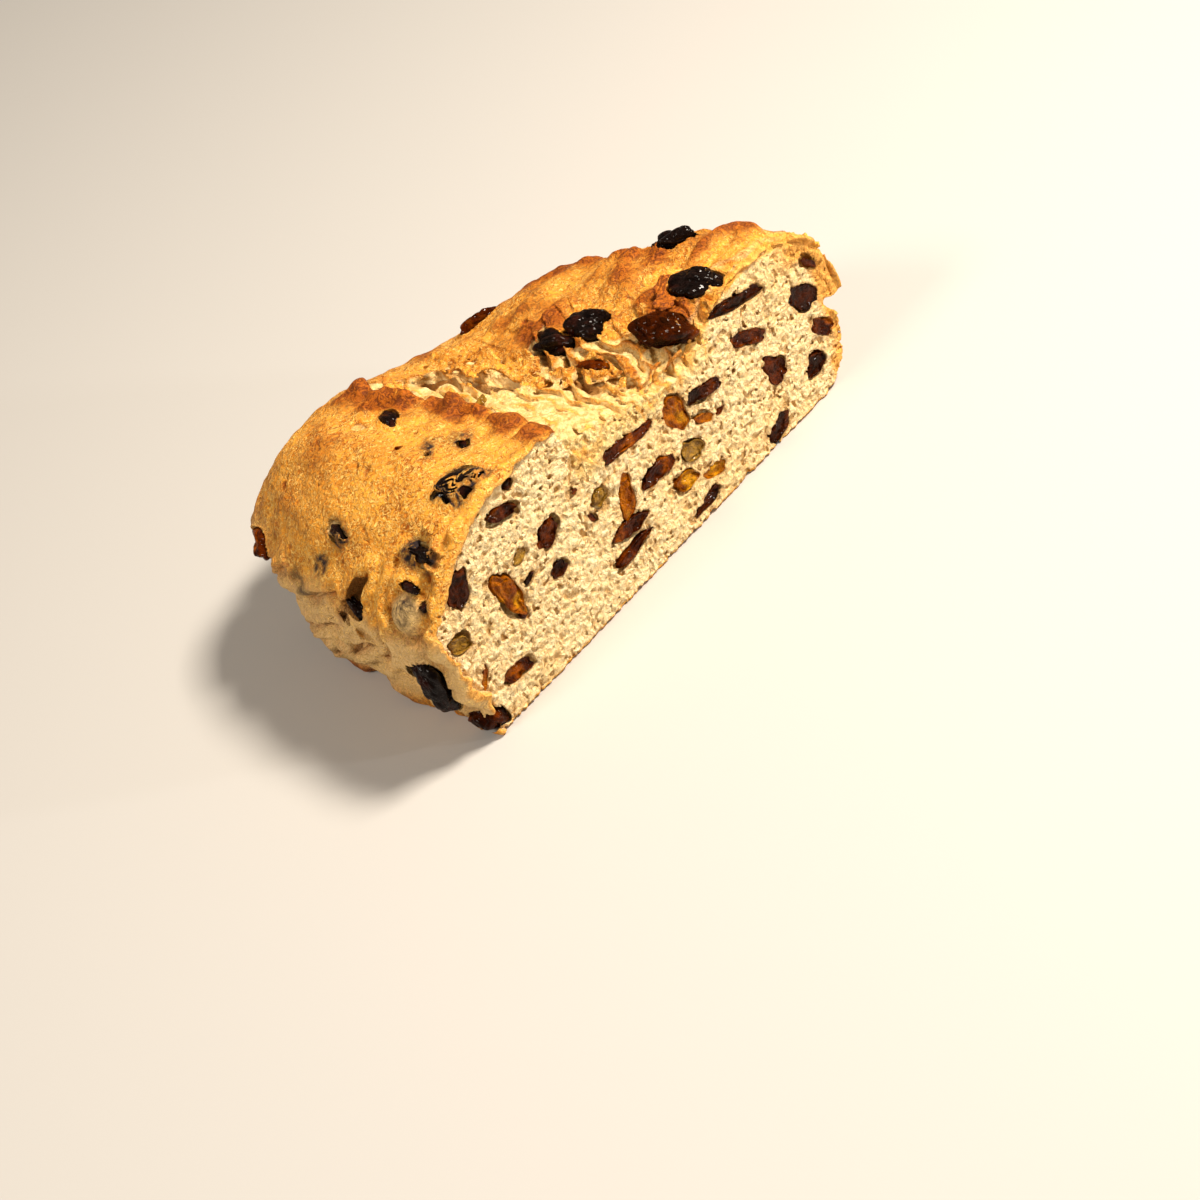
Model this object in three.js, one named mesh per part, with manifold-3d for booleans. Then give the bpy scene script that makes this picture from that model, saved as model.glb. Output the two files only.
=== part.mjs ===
// Half of a fruit stollen, cut across with a knife and lying on its flat base.
// Units are millimetres, +Z is up. X runs along the width of the cut face, which looks
// towards -Y, and the rounded end of the loaf lies towards +Y.
// The loaf is one solid with a long tear in its top crust. Every raisin, sultana and
// piece of peel that shows at the crust or at the cut is a solid of its own in its pocket.

import * as THREE from 'three';
import { mergeVertices } from 'three/addons/utils/BufferGeometryUtils.js';
import Module from 'manifold-3d';

const wasm = await Module();
wasm.setup();

// ---------------------------------------------------------------- driving dimensions
const CUT_Y = -60;             // plane of the knife cut
const CENTRE = { x: 0, y: -50 };  // pole of the plan outline
const BULGE = { left: 44, right: 31 };      // height of the widest line of each flank
const SHOULDER = { left: 40, right: 25 };   // width of the rounded shoulder
const ROUNDNESS = { left: 1.45, right: 1.95 };  // exponent of the shoulder's curve
const UNDERCUT = 9;            // how far the foot of the flank lies inside the bulge
const LEFT_LOBE = { lip: 68.5, rise: 0.155, reach: 30 };  // crust height at the tear's left lip
const RIGHT_LOBE = { low: 58, mound: 4 };
const TAIL_DROP = 9.5;         // fall of the top towards the rounded end
const TAIL_LENGTH = 115;
const EDGE_DIP = { x: 24, y: -62, depth: 7, wide: 13, long: 9 };  // crust torn low at the cut
const RELIEF = 0.7;            // unevenness of the crust
const CLEARANCE = 0.35;        // gap between a fruit and its pocket
const SKY = 95;                // above every part of the loaf
const MIDDLE = { x: -1.9, y: -1.9 };  // middle of the whole thing, put over the origin

// Plan outline at the widest line, from the right end of the cut round the back.
const OUTLINE = [
  [95, -60], [91, -36], [80, -12], [62, 12], [34, 37], [0, 49], [-42, 54], [-70, 45],
  [-87, 20], [-95, -18], [-95.5, -60], [-80, -105], [0, -120], [80, -105],
];

// The tear: its two lips in plan, from in front of the cut to its end.
const LEFT_LIP = [[-28, -66], [-28, -60], [-26.5, -40], [-26, -10], [-32, 6], [-30, 20], [-26, 30]];
const RIGHT_LIP = [
  [24, -66], [20, -60], [8, -53], [5, -40], [3, -30], [-5, -20], [-4, -5], [-5, 8],
  [-12, 18], [-22, 27], [-25, 30],
];
const TEAR = { from: -66, to: 30, stations: 22, floorPoints: 7, lipThickness: 4, undercut: 5 };
const FLOOR = { z: 63.5, x: -22, slope: 0.34, low: 51, tailDrop: 6 };

// The broken edge of the right flank, under a lip of crust that hangs over it.
const BREAK = { from: -66, to: -18, lipZ: 27, depth: 7.5, stations: 9 };

// ---------------------------------------------------------------- colours
const CRUST = { color: 0xd59a4e, roughness: 0.8, metalness: 0 };
const FRUIT_LOOKS = {
  raisin: { color: 0x2a1714, roughness: 0.4, metalness: 0 },
  brown: { color: 0x5a2a17, roughness: 0.4, metalness: 0 },
  sultana: { color: 0x9a5a1e, roughness: 0.35, metalness: 0 },
  peel: { color: 0xb99a4a, roughness: 0.35, metalness: 0 },
};

// ---------------------------------------------------------------- form of the loaf
const clamp = (v, low, high) => Math.min(Math.max(v, low), high);
const mix = (a, b, t) => a + (b - a) * t;
const smooth = (from, to, v) => {
  const t = clamp((v - from) / (to - from), 0, 1);
  return t * t * (3 - 2 * t);
};
const TURN = 2 * Math.PI;

/** Position along the width, 0 at the left flank and 1 at the right. */
const across = (x) => clamp((x + 95) / 190, 0, 1);
const flank = (range, x) => mix(range.left, range.right, across(x));

/** Plan radius as a smooth periodic curve through the outline's points. */
function makePlanRadius() {
  const knots = OUTLINE
    .map(([x, y]) => ({
      angle: (Math.atan2(y - CENTRE.y, x - CENTRE.x) + TURN) % TURN,
      radius: Math.hypot(x - CENTRE.x, y - CENTRE.y),
    }))
    .sort((a, b) => a.angle - b.angle);
  const count = knots.length;
  const knot = (i) => {
    const lap = Math.floor(i / count);
    const k = knots[i - lap * count];
    return { angle: k.angle + lap * TURN, radius: k.radius };
  };
  return (angle) => {
    let a = ((angle % TURN) + TURN) % TURN;
    if (a < knots[0].angle) a += TURN;
    let i = 0;
    while (i < count - 1 && knot(i + 1).angle <= a) i += 1;
    const [k0, k1, k2, k3] = [knot(i - 1), knot(i), knot(i + 1), knot(i + 2)];
    const span = k2.angle - k1.angle;
    const t = (a - k1.angle) / span;
    const m1 = ((k2.radius - k0.radius) / (k2.angle - k0.angle)) * span;
    const m2 = ((k3.radius - k1.radius) / (k3.angle - k1.angle)) * span;
    return (2 * t ** 3 - 3 * t ** 2 + 1) * k1.radius + (t ** 3 - 2 * t ** 2 + t) * m1
      + (3 * t ** 2 - 2 * t ** 3) * k2.radius + (t ** 3 - t ** 2) * m2;
  };
}
const planRadius = makePlanRadius();

/** Small uneven swellings of the dough. */
const swelling = (x, y, z) => RELIEF * (
  Math.sin(x * 0.11 + y * 0.05 + 1.3) * Math.cos(y * 0.13 - z * 0.06)
  + 0.5 * Math.sin(x * 0.23 - y * 0.19 + z * 0.17)
);

/** How far back a place lies, 0 at the cut and 1 at the rounded end. */
const backness = (y) => clamp((y - CUT_Y) / TAIL_LENGTH, 0, 1);

/** Height that the crust would have away from its edge. */
function lobeHeight(x, y) {
  const left = LEFT_LOBE.lip + LEFT_LOBE.rise * clamp(-28 - x, -LEFT_LOBE.reach, LEFT_LOBE.reach);
  const right = RIGHT_LOBE.low + RIGHT_LOBE.mound * smooth(5, 45, x);
  const dip = EDGE_DIP.depth
    * Math.exp(-(((x - EDGE_DIP.x) / EDGE_DIP.wide) ** 2) - ((y - EDGE_DIP.y) / EDGE_DIP.long) ** 2);
  return mix(left, right, smooth(-34, 10, x)) - TAIL_DROP * backness(y) ** 2 - dip;
}

/** Height of the crust's top surface. */
function crustHeight(x, y) {
  const angle = Math.atan2(y - CENTRE.y, x - CENTRE.x);
  const inward = planRadius(angle) - Math.hypot(x - CENTRE.x, y - CENTRE.y);
  const s = clamp(inward / flank(SHOULDER, x), 0, 1);
  const power = flank(ROUNDNESS, x);
  const bulge = flank(BULGE, x);
  const arch = (1 - (1 - s) ** power) ** (1 / power);
  return bulge + (lobeHeight(x, y) - bulge) * arch + swelling(x, y, 0) * arch;
}

/** A point of the flank under the bulge: the foot is drawn in. */
function flankPoint(angle, lift) {
  const r0 = planRadius(angle);
  const x0 = CENTRE.x + r0 * Math.cos(angle);
  const z = lift * flank(BULGE, x0);
  const r = r0 - UNDERCUT * (1 - lift) ** 2 + swelling(x0, angle * 60, z) * 4 * lift * (1 - lift);
  return new THREE.Vector3(CENTRE.x + r * Math.cos(angle), CENTRE.y + r * Math.sin(angle), z);
}

/** A point of the top crust on a spoke, by its share of the plan radius. */
function crustPoint(angle, share) {
  const r = planRadius(angle) * share;
  const x = CENTRE.x + r * Math.cos(angle);
  const y = CENTRE.y + r * Math.sin(angle);
  return new THREE.Vector3(x, y, crustHeight(x, y));
}

// ---------------------------------------------------------------- solids
/** A Manifold from a three.js geometry whose triangles close on themselves. */
function toSolid(geometry) {
  const bare = geometry.clone();
  for (const name of Object.keys(bare.attributes)) {
    if (name !== 'position') bare.deleteAttribute(name);
  }
  const merged = mergeVertices(bare, 1e-4);
  return new wasm.Manifold(new wasm.Mesh({
    numProp: 3,
    vertProperties: new Float32Array(merged.attributes.position.array),
    triVerts: new Uint32Array(merged.index.array),
  }));
}

function toGeometry(solid) {
  const mesh = solid.getMesh();
  const geometry = new THREE.BufferGeometry();
  geometry.setAttribute('position', new THREE.BufferAttribute(new Float32Array(mesh.vertProperties), 3));
  geometry.setIndex(new THREE.BufferAttribute(new Uint32Array(mesh.triVerts), 1));
  geometry.computeVertexNormals();
  return geometry;
}

/** Closed skin over equal rings of points: quads between rings, a fan over each end. */
function skinOverRings(rings) {
  const width = rings[0].length;
  const points = rings.flat();
  const middle = (ring) => ring
    .reduce((sum, p) => sum.add(p), new THREE.Vector3())
    .divideScalar(width);
  const first = points.push(middle(rings[0])) - 1;
  const last = points.push(middle(rings[rings.length - 1])) - 1;
  const index = [];
  for (let r = 0; r + 1 < rings.length; r += 1) {
    for (let i = 0; i < width; i += 1) {
      const j = (i + 1) % width;
      const [a, b] = [r * width + i, r * width + j];
      index.push(a, b, b + width, a, b + width, a + width);
    }
  }
  const top = (rings.length - 1) * width;
  for (let i = 0; i < width; i += 1) {
    const j = (i + 1) % width;
    index.push(first, j, i);
    index.push(last, top + i, top + j);
  }
  const geometry = new THREE.BufferGeometry();
  geometry.setAttribute('position', new THREE.Float32BufferAttribute(points.flatMap((p) => p.toArray()), 3));
  geometry.setIndex(index);
  return geometry;
}

const SPOKES = 72;
const FLANK_LIFTS = [0, 0.15, 0.35, 0.65];
const SHOULDER_STEPS = [0, 0.02, 0.07, 0.15, 0.28, 0.45, 0.65, 0.85];
const TOP_RINGS = 5;

/** The whole loaf before it is cut, as rings from the foot over the bulge to the top. */
function wholeLoaf() {
  const angles = Array.from({ length: SPOKES }, (_, i) => (i / SPOKES) * TURN);
  const rings = FLANK_LIFTS.map((lift) => angles.map((a) => flankPoint(a, lift)));
  for (const step of SHOULDER_STEPS) {
    rings.push(angles.map((a) => {
      const edge = CENTRE.x + planRadius(a) * Math.cos(a);
      return crustPoint(a, 1 - (step * flank(SHOULDER, edge)) / planRadius(a));
    }));
  }
  const shoulderEnd = SHOULDER_STEPS[SHOULDER_STEPS.length - 1];
  for (let k = 1; k < TOP_RINGS; k += 1) {
    rings.push(angles.map((a) => {
      const edge = CENTRE.x + planRadius(a) * Math.cos(a);
      const start = 1 - (shoulderEnd * flank(SHOULDER, edge)) / planRadius(a);
      return crustPoint(a, start * (1 - k / TOP_RINGS));
    }));
  }
  return toSolid(skinOverRings(rings));
}

/** Everything in front of the knife cut. */
function frontBlock() {
  const depth = 100;
  const block = new THREE.BoxGeometry(260, depth, 200);
  block.translate(0, CUT_Y - depth / 2, 50);
  return toSolid(block);
}

/** x of a lip at a given y. */
function lipX(lip, y) {
  let i = 1;
  while (i < lip.length - 1 && lip[i][1] < y) i += 1;
  const [[x0, y0], [x1, y1]] = [lip[i - 1], lip[i]];
  return mix(x0, x1, clamp((y - y0) / (y1 - y0), 0, 1));
}

const floorHeight = (x, y) => Math.max(FLOOR.z - FLOOR.slope * (x - FLOOR.x), FLOOR.low)
  - FLOOR.tailDrop * backness(y) ** 2 + 0.5 * Math.sin(x * 0.5 + y * 0.3);

/** What the tear takes away: a trench whose right side runs under the right lobe's lip. */
function tearCutter() {
  const rings = [];
  for (let s = 0; s <= TEAR.stations; s += 1) {
    const y = mix(TEAR.from, TEAR.to, s / TEAR.stations);
    const [left, right] = [lipX(LEFT_LIP, y), lipX(RIGHT_LIP, y)];
    const ragged = 1.2 * Math.sin(s * 2.4);
    const under = TEAR.undercut * smooth(-62, -48, y) * smooth(30, 12, y);
    const ring = [[left + ragged, SKY], [left + 0.8 + ragged, floorHeight(left, y) + 2]];
    for (let k = 0; k < TEAR.floorPoints; k += 1) {
      const x = mix(left + 2, right + under, k / (TEAR.floorPoints - 1));
      ring.push([x, floorHeight(x, y)]);
    }
    const lipZ = Math.max(crustHeight(right, y) - TEAR.lipThickness, floorHeight(right, y) + 1);
    ring.push([right + ragged + 0.6 * under, lipZ], [right + ragged, lipZ + 2], [right + ragged, SKY]);
    rings.push(ring.map(([x, z]) => new THREE.Vector3(x, y, z)));
  }
  return toSolid(skinOverRings(rings.reverse()));
}

/** What is broken off the lower right flank next to the cut. */
function breakCutter() {
  const rings = [];
  for (let s = 0; s <= BREAK.stations; s += 1) {
    const y = mix(BREAK.from, BREAK.to, s / BREAK.stations);
    const edge = planRadius(Math.atan2(y - CENTRE.y, 90)) * 0.995;
    const fade = 1 - smooth(-45, BREAK.to, y);
    const reach = (BREAK.depth + Math.sin(s * 2.1)) * fade + 0.01;
    const wall = (z) => edge - reach - UNDERCUT * 0.75 * (1 - z / BREAK.lipZ) ** 2;
    const ring = [[wall(0) + 3, -5], [120, -5], [120, BREAK.lipZ - 1], [edge - 1, BREAK.lipZ],
      [edge - reach, BREAK.lipZ + 1.5], [wall(BREAK.lipZ * 0.7), BREAK.lipZ * 0.7],
      [wall(BREAK.lipZ * 0.35), BREAK.lipZ * 0.35]];
    rings.push(ring.map(([x, z]) => new THREE.Vector3(x, y, z)));
  }
  return toSolid(skinOverRings(rings.reverse()));
}

// ---------------------------------------------------------------- fruit
// Facets round and from front to back of each size of fruit.
const FACETS = { large: [12, 6], small: [9, 5], cut: [8, 4] };
const LARGE = 25;              // half length times half width of a large fruit

/** A lumpy dried fruit about the origin, long side along X, with extra skin if asked. */
function fruitShape({ half, seed, facets }, skin) {
  const shape = new THREE.SphereGeometry(1, facets[0], facets[1]).rotateX(Math.PI / 2);
  const position = shape.attributes.position;
  const p = new THREE.Vector3();
  for (let i = 0; i < position.count; i += 1) {
    p.fromBufferAttribute(position, i);
    const lump = 1 + 0.09 * Math.sin(3.3 * p.x + seed) * Math.cos(2.9 * p.y + 1.7 * seed)
      + 0.06 * Math.sin(5.1 * p.z + 2.3 * p.x + 0.6 * seed);
    const taper = 1 - 0.16 * p.x * Math.sin(seed);
    position.setXYZ(
      i,
      p.x * (half[0] * lump + skin),
      p.y * (half[1] * lump * taper + skin),
      p.z * (half[2] * lump * taper + skin),
    );
  }
  return shape;
}

/** Turns a fruit's long side towards `along`, its back towards `out`, and puts it at `at`. */
function place(shape, at, along, out) {
  const normal = out.clone().normalize();
  const side = new THREE.Vector3().crossVectors(normal, along).normalize();
  const long = new THREE.Vector3().crossVectors(side, normal);
  const turn = new THREE.Matrix4().makeBasis(long, side, normal);
  return shape.applyMatrix4(turn).translate(at.x, at.y, at.z);
}

const vector = (x, y, z) => new THREE.Vector3(x, y, z);

/** Outward normal of the top crust. */
function crustNormal(x, y) {
  const e = 0.5;
  return vector(
    (crustHeight(x - e, y) - crustHeight(x + e, y)) / (2 * e),
    (crustHeight(x, y - e) - crustHeight(x, y + e)) / (2 * e),
    1,
  ).normalize();
}

// Fruit on the top crust: name, place in plan, half sizes, direction in plan in degrees
// and how far the middle stands above the crust. `z` overrides the crust's height.
const ON_TOP = [
  { name: 'raisin_top_mid', x: 23, y: -25, half: [6.8, 5.6, 4.6], turn: -40, proud: 1.5 },
  { name: 'raisin_top_lip', x: 13.5, y: -17, half: [6.4, 3.8, 3.5], turn: 98, proud: 0.6 },
  { name: 'sultana_top_cut', x: 28, y: -52, half: [9.2, 5.2, 4.6], turn: -58, proud: 1.2, look: 'brown' },
  { name: 'raisin_top_cut', x: 46.5, y: -50, half: [7.8, 5.4, 4.4], turn: -48, proud: 0.8 },
  { name: 'raisin_top_right', x: 62, y: -29, half: [7.6, 4.4, 4], turn: -60, proud: 1 },
  { name: 'raisin_top_back', x: 20, y: 27, half: [7, 2.4, 2.4], turn: -35, proud: 0.2, look: 'brown' },
  { name: 'raisin_top_left', x: -43, y: -3, half: [6.6, 2.7, 2.5], turn: 61, proud: 0.2 },
  { name: 'raisin_top_blister', x: -60, y: -51, half: [8, 4.8, 4.2], turn: -38, proud: -1.6 },
  { name: 'raisin_top_slit', x: -81, y: -50, half: [5.2, 2.1, 2], turn: 86, proud: -0.4 },
  { name: 'raisin_top_crack', x: -82, y: -14, half: [4.4, 1.7, 1.7], turn: 70, proud: -0.3 },
];

// Fruit on the flanks: angle of the spoke in degrees, lift as a share of the bulge height,
// half sizes, tilt of the long side from level in degrees and how far it stands proud.
const ON_FLANK = [
  { name: 'raisin_flank_cut', spoke: 180.6, lift: 0.58, half: [8.8, 5.2, 4], tilt: 66, proud: 0.4 },
  { name: 'raisin_flank_cavity', spoke: 166.3, lift: 0.98, half: [6.4, 3.3, 3], tilt: 38, proud: -0.9 },
  { name: 'raisin_flank_left', spoke: 135.5, lift: 0.97, half: [7.6, 4, 3.4], tilt: 4, proud: 0.4, look: 'brown' },
  { name: 'raisin_flank_low', spoke: 133, lift: 0.3, half: [6.6, 3.4, 3.2], tilt: 8, proud: 0.6, look: 'brown' },
  { name: 'raisin_foot_cut', spoke: 184.6, lift: 0.14, half: [6.4, 4.2, 3.6], tilt: 14, proud: 0 },
];

// The sides that turn away: the same kinds of fruit, spread by a rule.
const BACK_FRUIT = { count: 9, from: 8, to: 122, half: [6.4, 3.9, 3.4] };

// Fruit in the cut face: place of the middle, half length and half width as they show,
// direction of the long side in degrees from +X towards +Z, and kind.
const ON_CUT = [
  { name: 'raisin_cut_shoulder', x: -80.5, z: 51.5, half: [6.4, 4.4], turn: 55, look: 'raisin' },
  { name: 'sultana_cut_high', x: -58, z: 60.8, half: [6.6, 2.2], turn: -22, look: 'brown' },
  { name: 'sultana_cut_tall', x: -66, z: 36.5, half: [9.6, 4.2], turn: -72, look: 'sultana' },
  { name: 'peel_cut_left', x: -88, z: 36, half: [5, 2.6], turn: -40, look: 'peel' },
  { name: 'sultana_cut_low', x: -74.5, z: 13.4, half: [6.4, 3], turn: -14, look: 'brown' },
  { name: 'raisin_cut_cluster', x: -45.5, z: 42.4, half: [5.2, 3.6], turn: 24, look: 'raisin' },
  { name: 'raisin_cut_small', x: -46.8, z: 29.6, half: [3.4, 2.3], turn: -18, look: 'raisin' },
  { name: 'peel_cut_middle', x: -23.2, z: 38.4, half: [3.4, 2.8], turn: 0, look: 'peel' },
  { name: 'sultana_cut_upright', x: -13.6, z: 31.6, half: [6.8, 3.1], turn: 74, look: 'sultana' },
  { name: 'raisin_cut_crescent', x: -17, z: 21, half: [7.8, 3], turn: -6, look: 'brown' },
  { name: 'raisin_cut_sliver', x: -18, z: 13.8, half: [9, 2.1], turn: 7, look: 'brown' },
  { name: 'raisin_cut_long', x: -7, z: 45.6, half: [10.6, 2.7], turn: -8, look: 'brown' },
  { name: 'raisin_cut_middle', x: -0.6, z: 28.6, half: [7.6, 3.6], turn: 2, look: 'brown' },
  { name: 'peel_cut_dark', x: 14.6, z: 25.2, half: [5.6, 3.2], turn: -42, look: 'peel' },
  { name: 'sultana_cut_floor', x: 9.6, z: 17.4, half: [6, 3], turn: -20, look: 'sultana' },
  { name: 'sultana_cut_thin', x: 20.6, z: 12, half: [5, 1.9], turn: -14, look: 'sultana' },
  { name: 'sultana_cut_bright', x: 14.4, z: 40, half: [7.2, 4], turn: -58, look: 'sultana' },
  { name: 'raisin_cut_twin', x: 28.4, z: 38.2, half: [7.2, 2.7], turn: -14, look: 'raisin' },
  { name: 'raisin_cut_streak', x: 13.4, z: 5.2, half: [5.8, 2.2], turn: 10, look: 'raisin' },
  { name: 'raisin_cut_brown', x: 51.6, z: 40.4, half: [8, 3.3], turn: -30, look: 'brown' },
  { name: 'raisin_cut_round', x: 57, z: 23.6, half: [6.6, 4.3], turn: -64, look: 'brown' },
  { name: 'raisin_cut_edge', x: 51.5, z: 54.6, half: [11.6, 3], turn: -16, look: 'raisin' },
  { name: 'raisin_cut_right', x: 78, z: 35.8, half: [6.6, 4.5], turn: -30, look: 'raisin' },
  { name: 'raisin_cut_ruby', x: 80.6, z: 22.4, half: [5.6, 3.3], turn: -42, look: 'brown' },
  { name: 'raisin_cut_corner', x: 73, z: 12.4, half: [5, 3.6], turn: 16, look: 'raisin' },
  { name: 'raisin_cut_base', x: 50.6, z: 4.6, half: [6.4, 3.2], turn: 18, look: 'raisin' },
];
const CUT_FRUIT_DEPTH = 4.6;   // half depth of a fruit in the cut face

/** The fruit as { name, look, make(skin) }, where make gives the placed geometry. */
function crustFruit() {
  const list = [];
  ON_TOP.forEach((fruit, i) => {
    const { name, x, y, half, turn, proud, look = 'raisin' } = fruit;
    const normal = crustNormal(x, y);
    const at = vector(x, y, crustHeight(x, y)).addScaledVector(normal, proud);
    const angle = THREE.MathUtils.degToRad(turn);
    const along = vector(Math.cos(angle), Math.sin(angle), 0);
    const facets = half[0] * half[1] > LARGE ? FACETS.large : FACETS.small;
    const make = (skin) => place(fruitShape({ half, seed: i + 1, facets }, skin), at, along, normal);
    list.push({ name, look, make });
  });
  const flankFruit = ON_FLANK.concat(Array.from({ length: BACK_FRUIT.count }, (_, i) => ({
    name: `raisin_back_${i + 1}`,
    spoke: mix(BACK_FRUIT.from, BACK_FRUIT.to, (i + 0.5) / BACK_FRUIT.count),
    lift: 0.32 + 0.62 * ((i * 0.618) % 1),
    half: BACK_FRUIT.half.map((h, k) => h * (1 + 0.2 * Math.sin(2.7 * i + k))),
    tilt: -30 + 60 * ((i * 0.382) % 1),
    proud: 0.3,
    look: i % 3 === 1 ? 'brown' : 'raisin',
  })));
  flankFruit.forEach((fruit, i) => {
    const { name, spoke, lift, half, tilt, proud, look = 'raisin' } = fruit;
    const angle = THREE.MathUtils.degToRad(spoke);
    const at = flankPoint(angle, lift);
    const step = 0.01;
    const level = flankPoint(angle + step, lift).sub(flankPoint(angle - step, lift)).normalize();
    const up = flankPoint(angle, lift + step).sub(flankPoint(angle, lift - step)).normalize();
    const normal = vector(0, 0, 0).crossVectors(level, up).normalize();
    const slope = THREE.MathUtils.degToRad(tilt);
    const along = level.multiplyScalar(-Math.cos(slope)).addScaledVector(up, Math.sin(slope));
    at.addScaledVector(normal, proud);
    const shape = { half, seed: 20 + i, facets: FACETS.small };
    const make = (skin) => place(fruitShape(shape, skin), at, along, normal);
    list.push({ name, look, make });
  });
  return list;
}

function cutFruit() {
  return ON_CUT.map(({ name, x, z, half, turn, look }, i) => {
    const angle = THREE.MathUtils.degToRad(turn);
    const along = vector(Math.cos(angle), 0, Math.sin(angle));
    const at = vector(x, CUT_Y + 0.4, z);
    const shape = { half: [half[0], half[1], CUT_FRUIT_DEPTH], seed: 40 + i, facets: FACETS.cut };
    return { name, look, make: (skin) => place(fruitShape(shape, skin), at, along, vector(0, -1, 0)) };
  });
}

// ---------------------------------------------------------------- the object
function addMesh(group, name, solid, looks) {
  const mesh = new THREE.Mesh(toGeometry(solid), new THREE.MeshStandardMaterial(looks));
  mesh.name = name;
  group.add(mesh);
}

function buildStollen() {
  const group = new THREE.Group();
  const front = frontBlock();
  const all = [...crustFruit(), ...cutFruit()];
  let loaf = wholeLoaf().subtract(front).subtract(tearCutter()).subtract(breakCutter());
  for (const { make } of all) loaf = loaf.subtract(toSolid(make(CLEARANCE)));
  addMesh(group, 'loaf', loaf, CRUST);
  for (const { name, look, make } of all) {
    addMesh(group, name, toSolid(make(0)).subtract(front), FRUIT_LOOKS[look]);
  }
  group.position.set(-MIDDLE.x, -MIDDLE.y, 0);
  return group;
}

export default buildStollen();
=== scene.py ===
"""Half of a fruit stollen, cut across and lying on its flat base.

The dough is one field of distances in millimetres: a domed loaf with two lobes, a long
tear in the top crust, a broken right edge and a knife cut.  Every raisin, sultana and
piece of peel has its pocket in it.  The field is turned into meshes, its surface is
painted with masks for crust, crumb, browning, fruit under the skin and painted shade in
creases, pores and cavities, and the dried fruit, the loose crumbs, the floor, the lights
and the camera are made round it.
"""

import logging
import math
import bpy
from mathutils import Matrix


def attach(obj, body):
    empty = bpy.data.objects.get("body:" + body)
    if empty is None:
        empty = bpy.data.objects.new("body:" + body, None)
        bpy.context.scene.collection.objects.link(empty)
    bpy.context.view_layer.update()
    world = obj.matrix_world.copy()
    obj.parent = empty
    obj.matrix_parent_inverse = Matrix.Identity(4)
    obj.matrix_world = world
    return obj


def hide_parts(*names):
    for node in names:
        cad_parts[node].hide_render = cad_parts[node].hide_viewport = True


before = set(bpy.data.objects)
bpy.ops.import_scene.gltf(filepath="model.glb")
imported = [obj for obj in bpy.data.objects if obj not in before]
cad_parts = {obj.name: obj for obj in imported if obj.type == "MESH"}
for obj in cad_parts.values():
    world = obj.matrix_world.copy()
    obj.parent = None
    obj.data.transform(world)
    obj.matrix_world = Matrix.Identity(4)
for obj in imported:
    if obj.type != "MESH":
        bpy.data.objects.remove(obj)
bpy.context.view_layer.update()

from concurrent.futures import ThreadPoolExecutor
from dataclasses import dataclass, field
from enum import Enum
from typing import Iterable, Iterator, Sequence

import bmesh
import bpy
import numpy as np
import openvdb
from mathutils import Matrix, Vector

LOG = logging.getLogger("stollen")
MM = 0.001                       # one millimetre in metres
ORIGIN_IN_LOAF = (-1.9, -1.9)    # where the frame's origin lies in the loaf's own millimetres
Points = Sequence[tuple[float, float]]
Spot = tuple[float, float, float]


# -------------------- small helpers
def report(piece: bpy.types.Object) -> None:
    """Says what was made."""
    LOG.info("%s: %d faces", piece.name, len(piece.data.polygons))


def smoothstep(low: float, high: float, value: np.ndarray) -> np.ndarray:
    """A smooth ramp from 0 at low to 1 at high.

    Args:
        low: Value at which the ramp leaves 0.
        high: Value at which the ramp reaches 1.
        value: Values to ramp.

    Returns:
        The ramped values.
    """
    t = np.clip((value - low) / (high - low), 0.0, 1.0)
    return t * t * (3.0 - 2.0 * t)


@dataclass(frozen=True)
class Ramp:
    """A smoothstep that is kept with its two limits."""

    low: float                   # value at which it leaves 0
    high: float                  # value at which it reaches 1

    def __call__(self, value: np.ndarray) -> np.ndarray:
        """The ramped values."""
        return smoothstep(self.low, self.high, value)


def soft_max(a: np.ndarray, b: np.ndarray, k: float) -> np.ndarray:
    """The larger of two fields with a fillet.

    Args:
        a: First field.
        b: Second field.
        k: Width of the fillet in millimetres.

    Returns:
        The blended field.
    """
    h = np.maximum(k - np.abs(a - b), 0.0) / k
    return np.maximum(a, b) + h * h * k * 0.25


def soft_min(a: np.ndarray, b: np.ndarray, k: float) -> np.ndarray:
    """The smaller of two fields with a fillet, the mirror image of soft_max."""
    return -soft_max(-a, -b, k)


def along(points: Points, y: np.ndarray) -> np.ndarray:
    """x of a line through (x, y) points at given y."""
    return np.interp(y, [p[1] for p in points], [p[0] for p in points]).astype(np.float32)


def hump(value: np.ndarray, middle: float, width: float) -> np.ndarray:
    """A bell of height 1 about the middle."""
    return np.exp(-(((value - middle) / width) ** 2))


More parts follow.
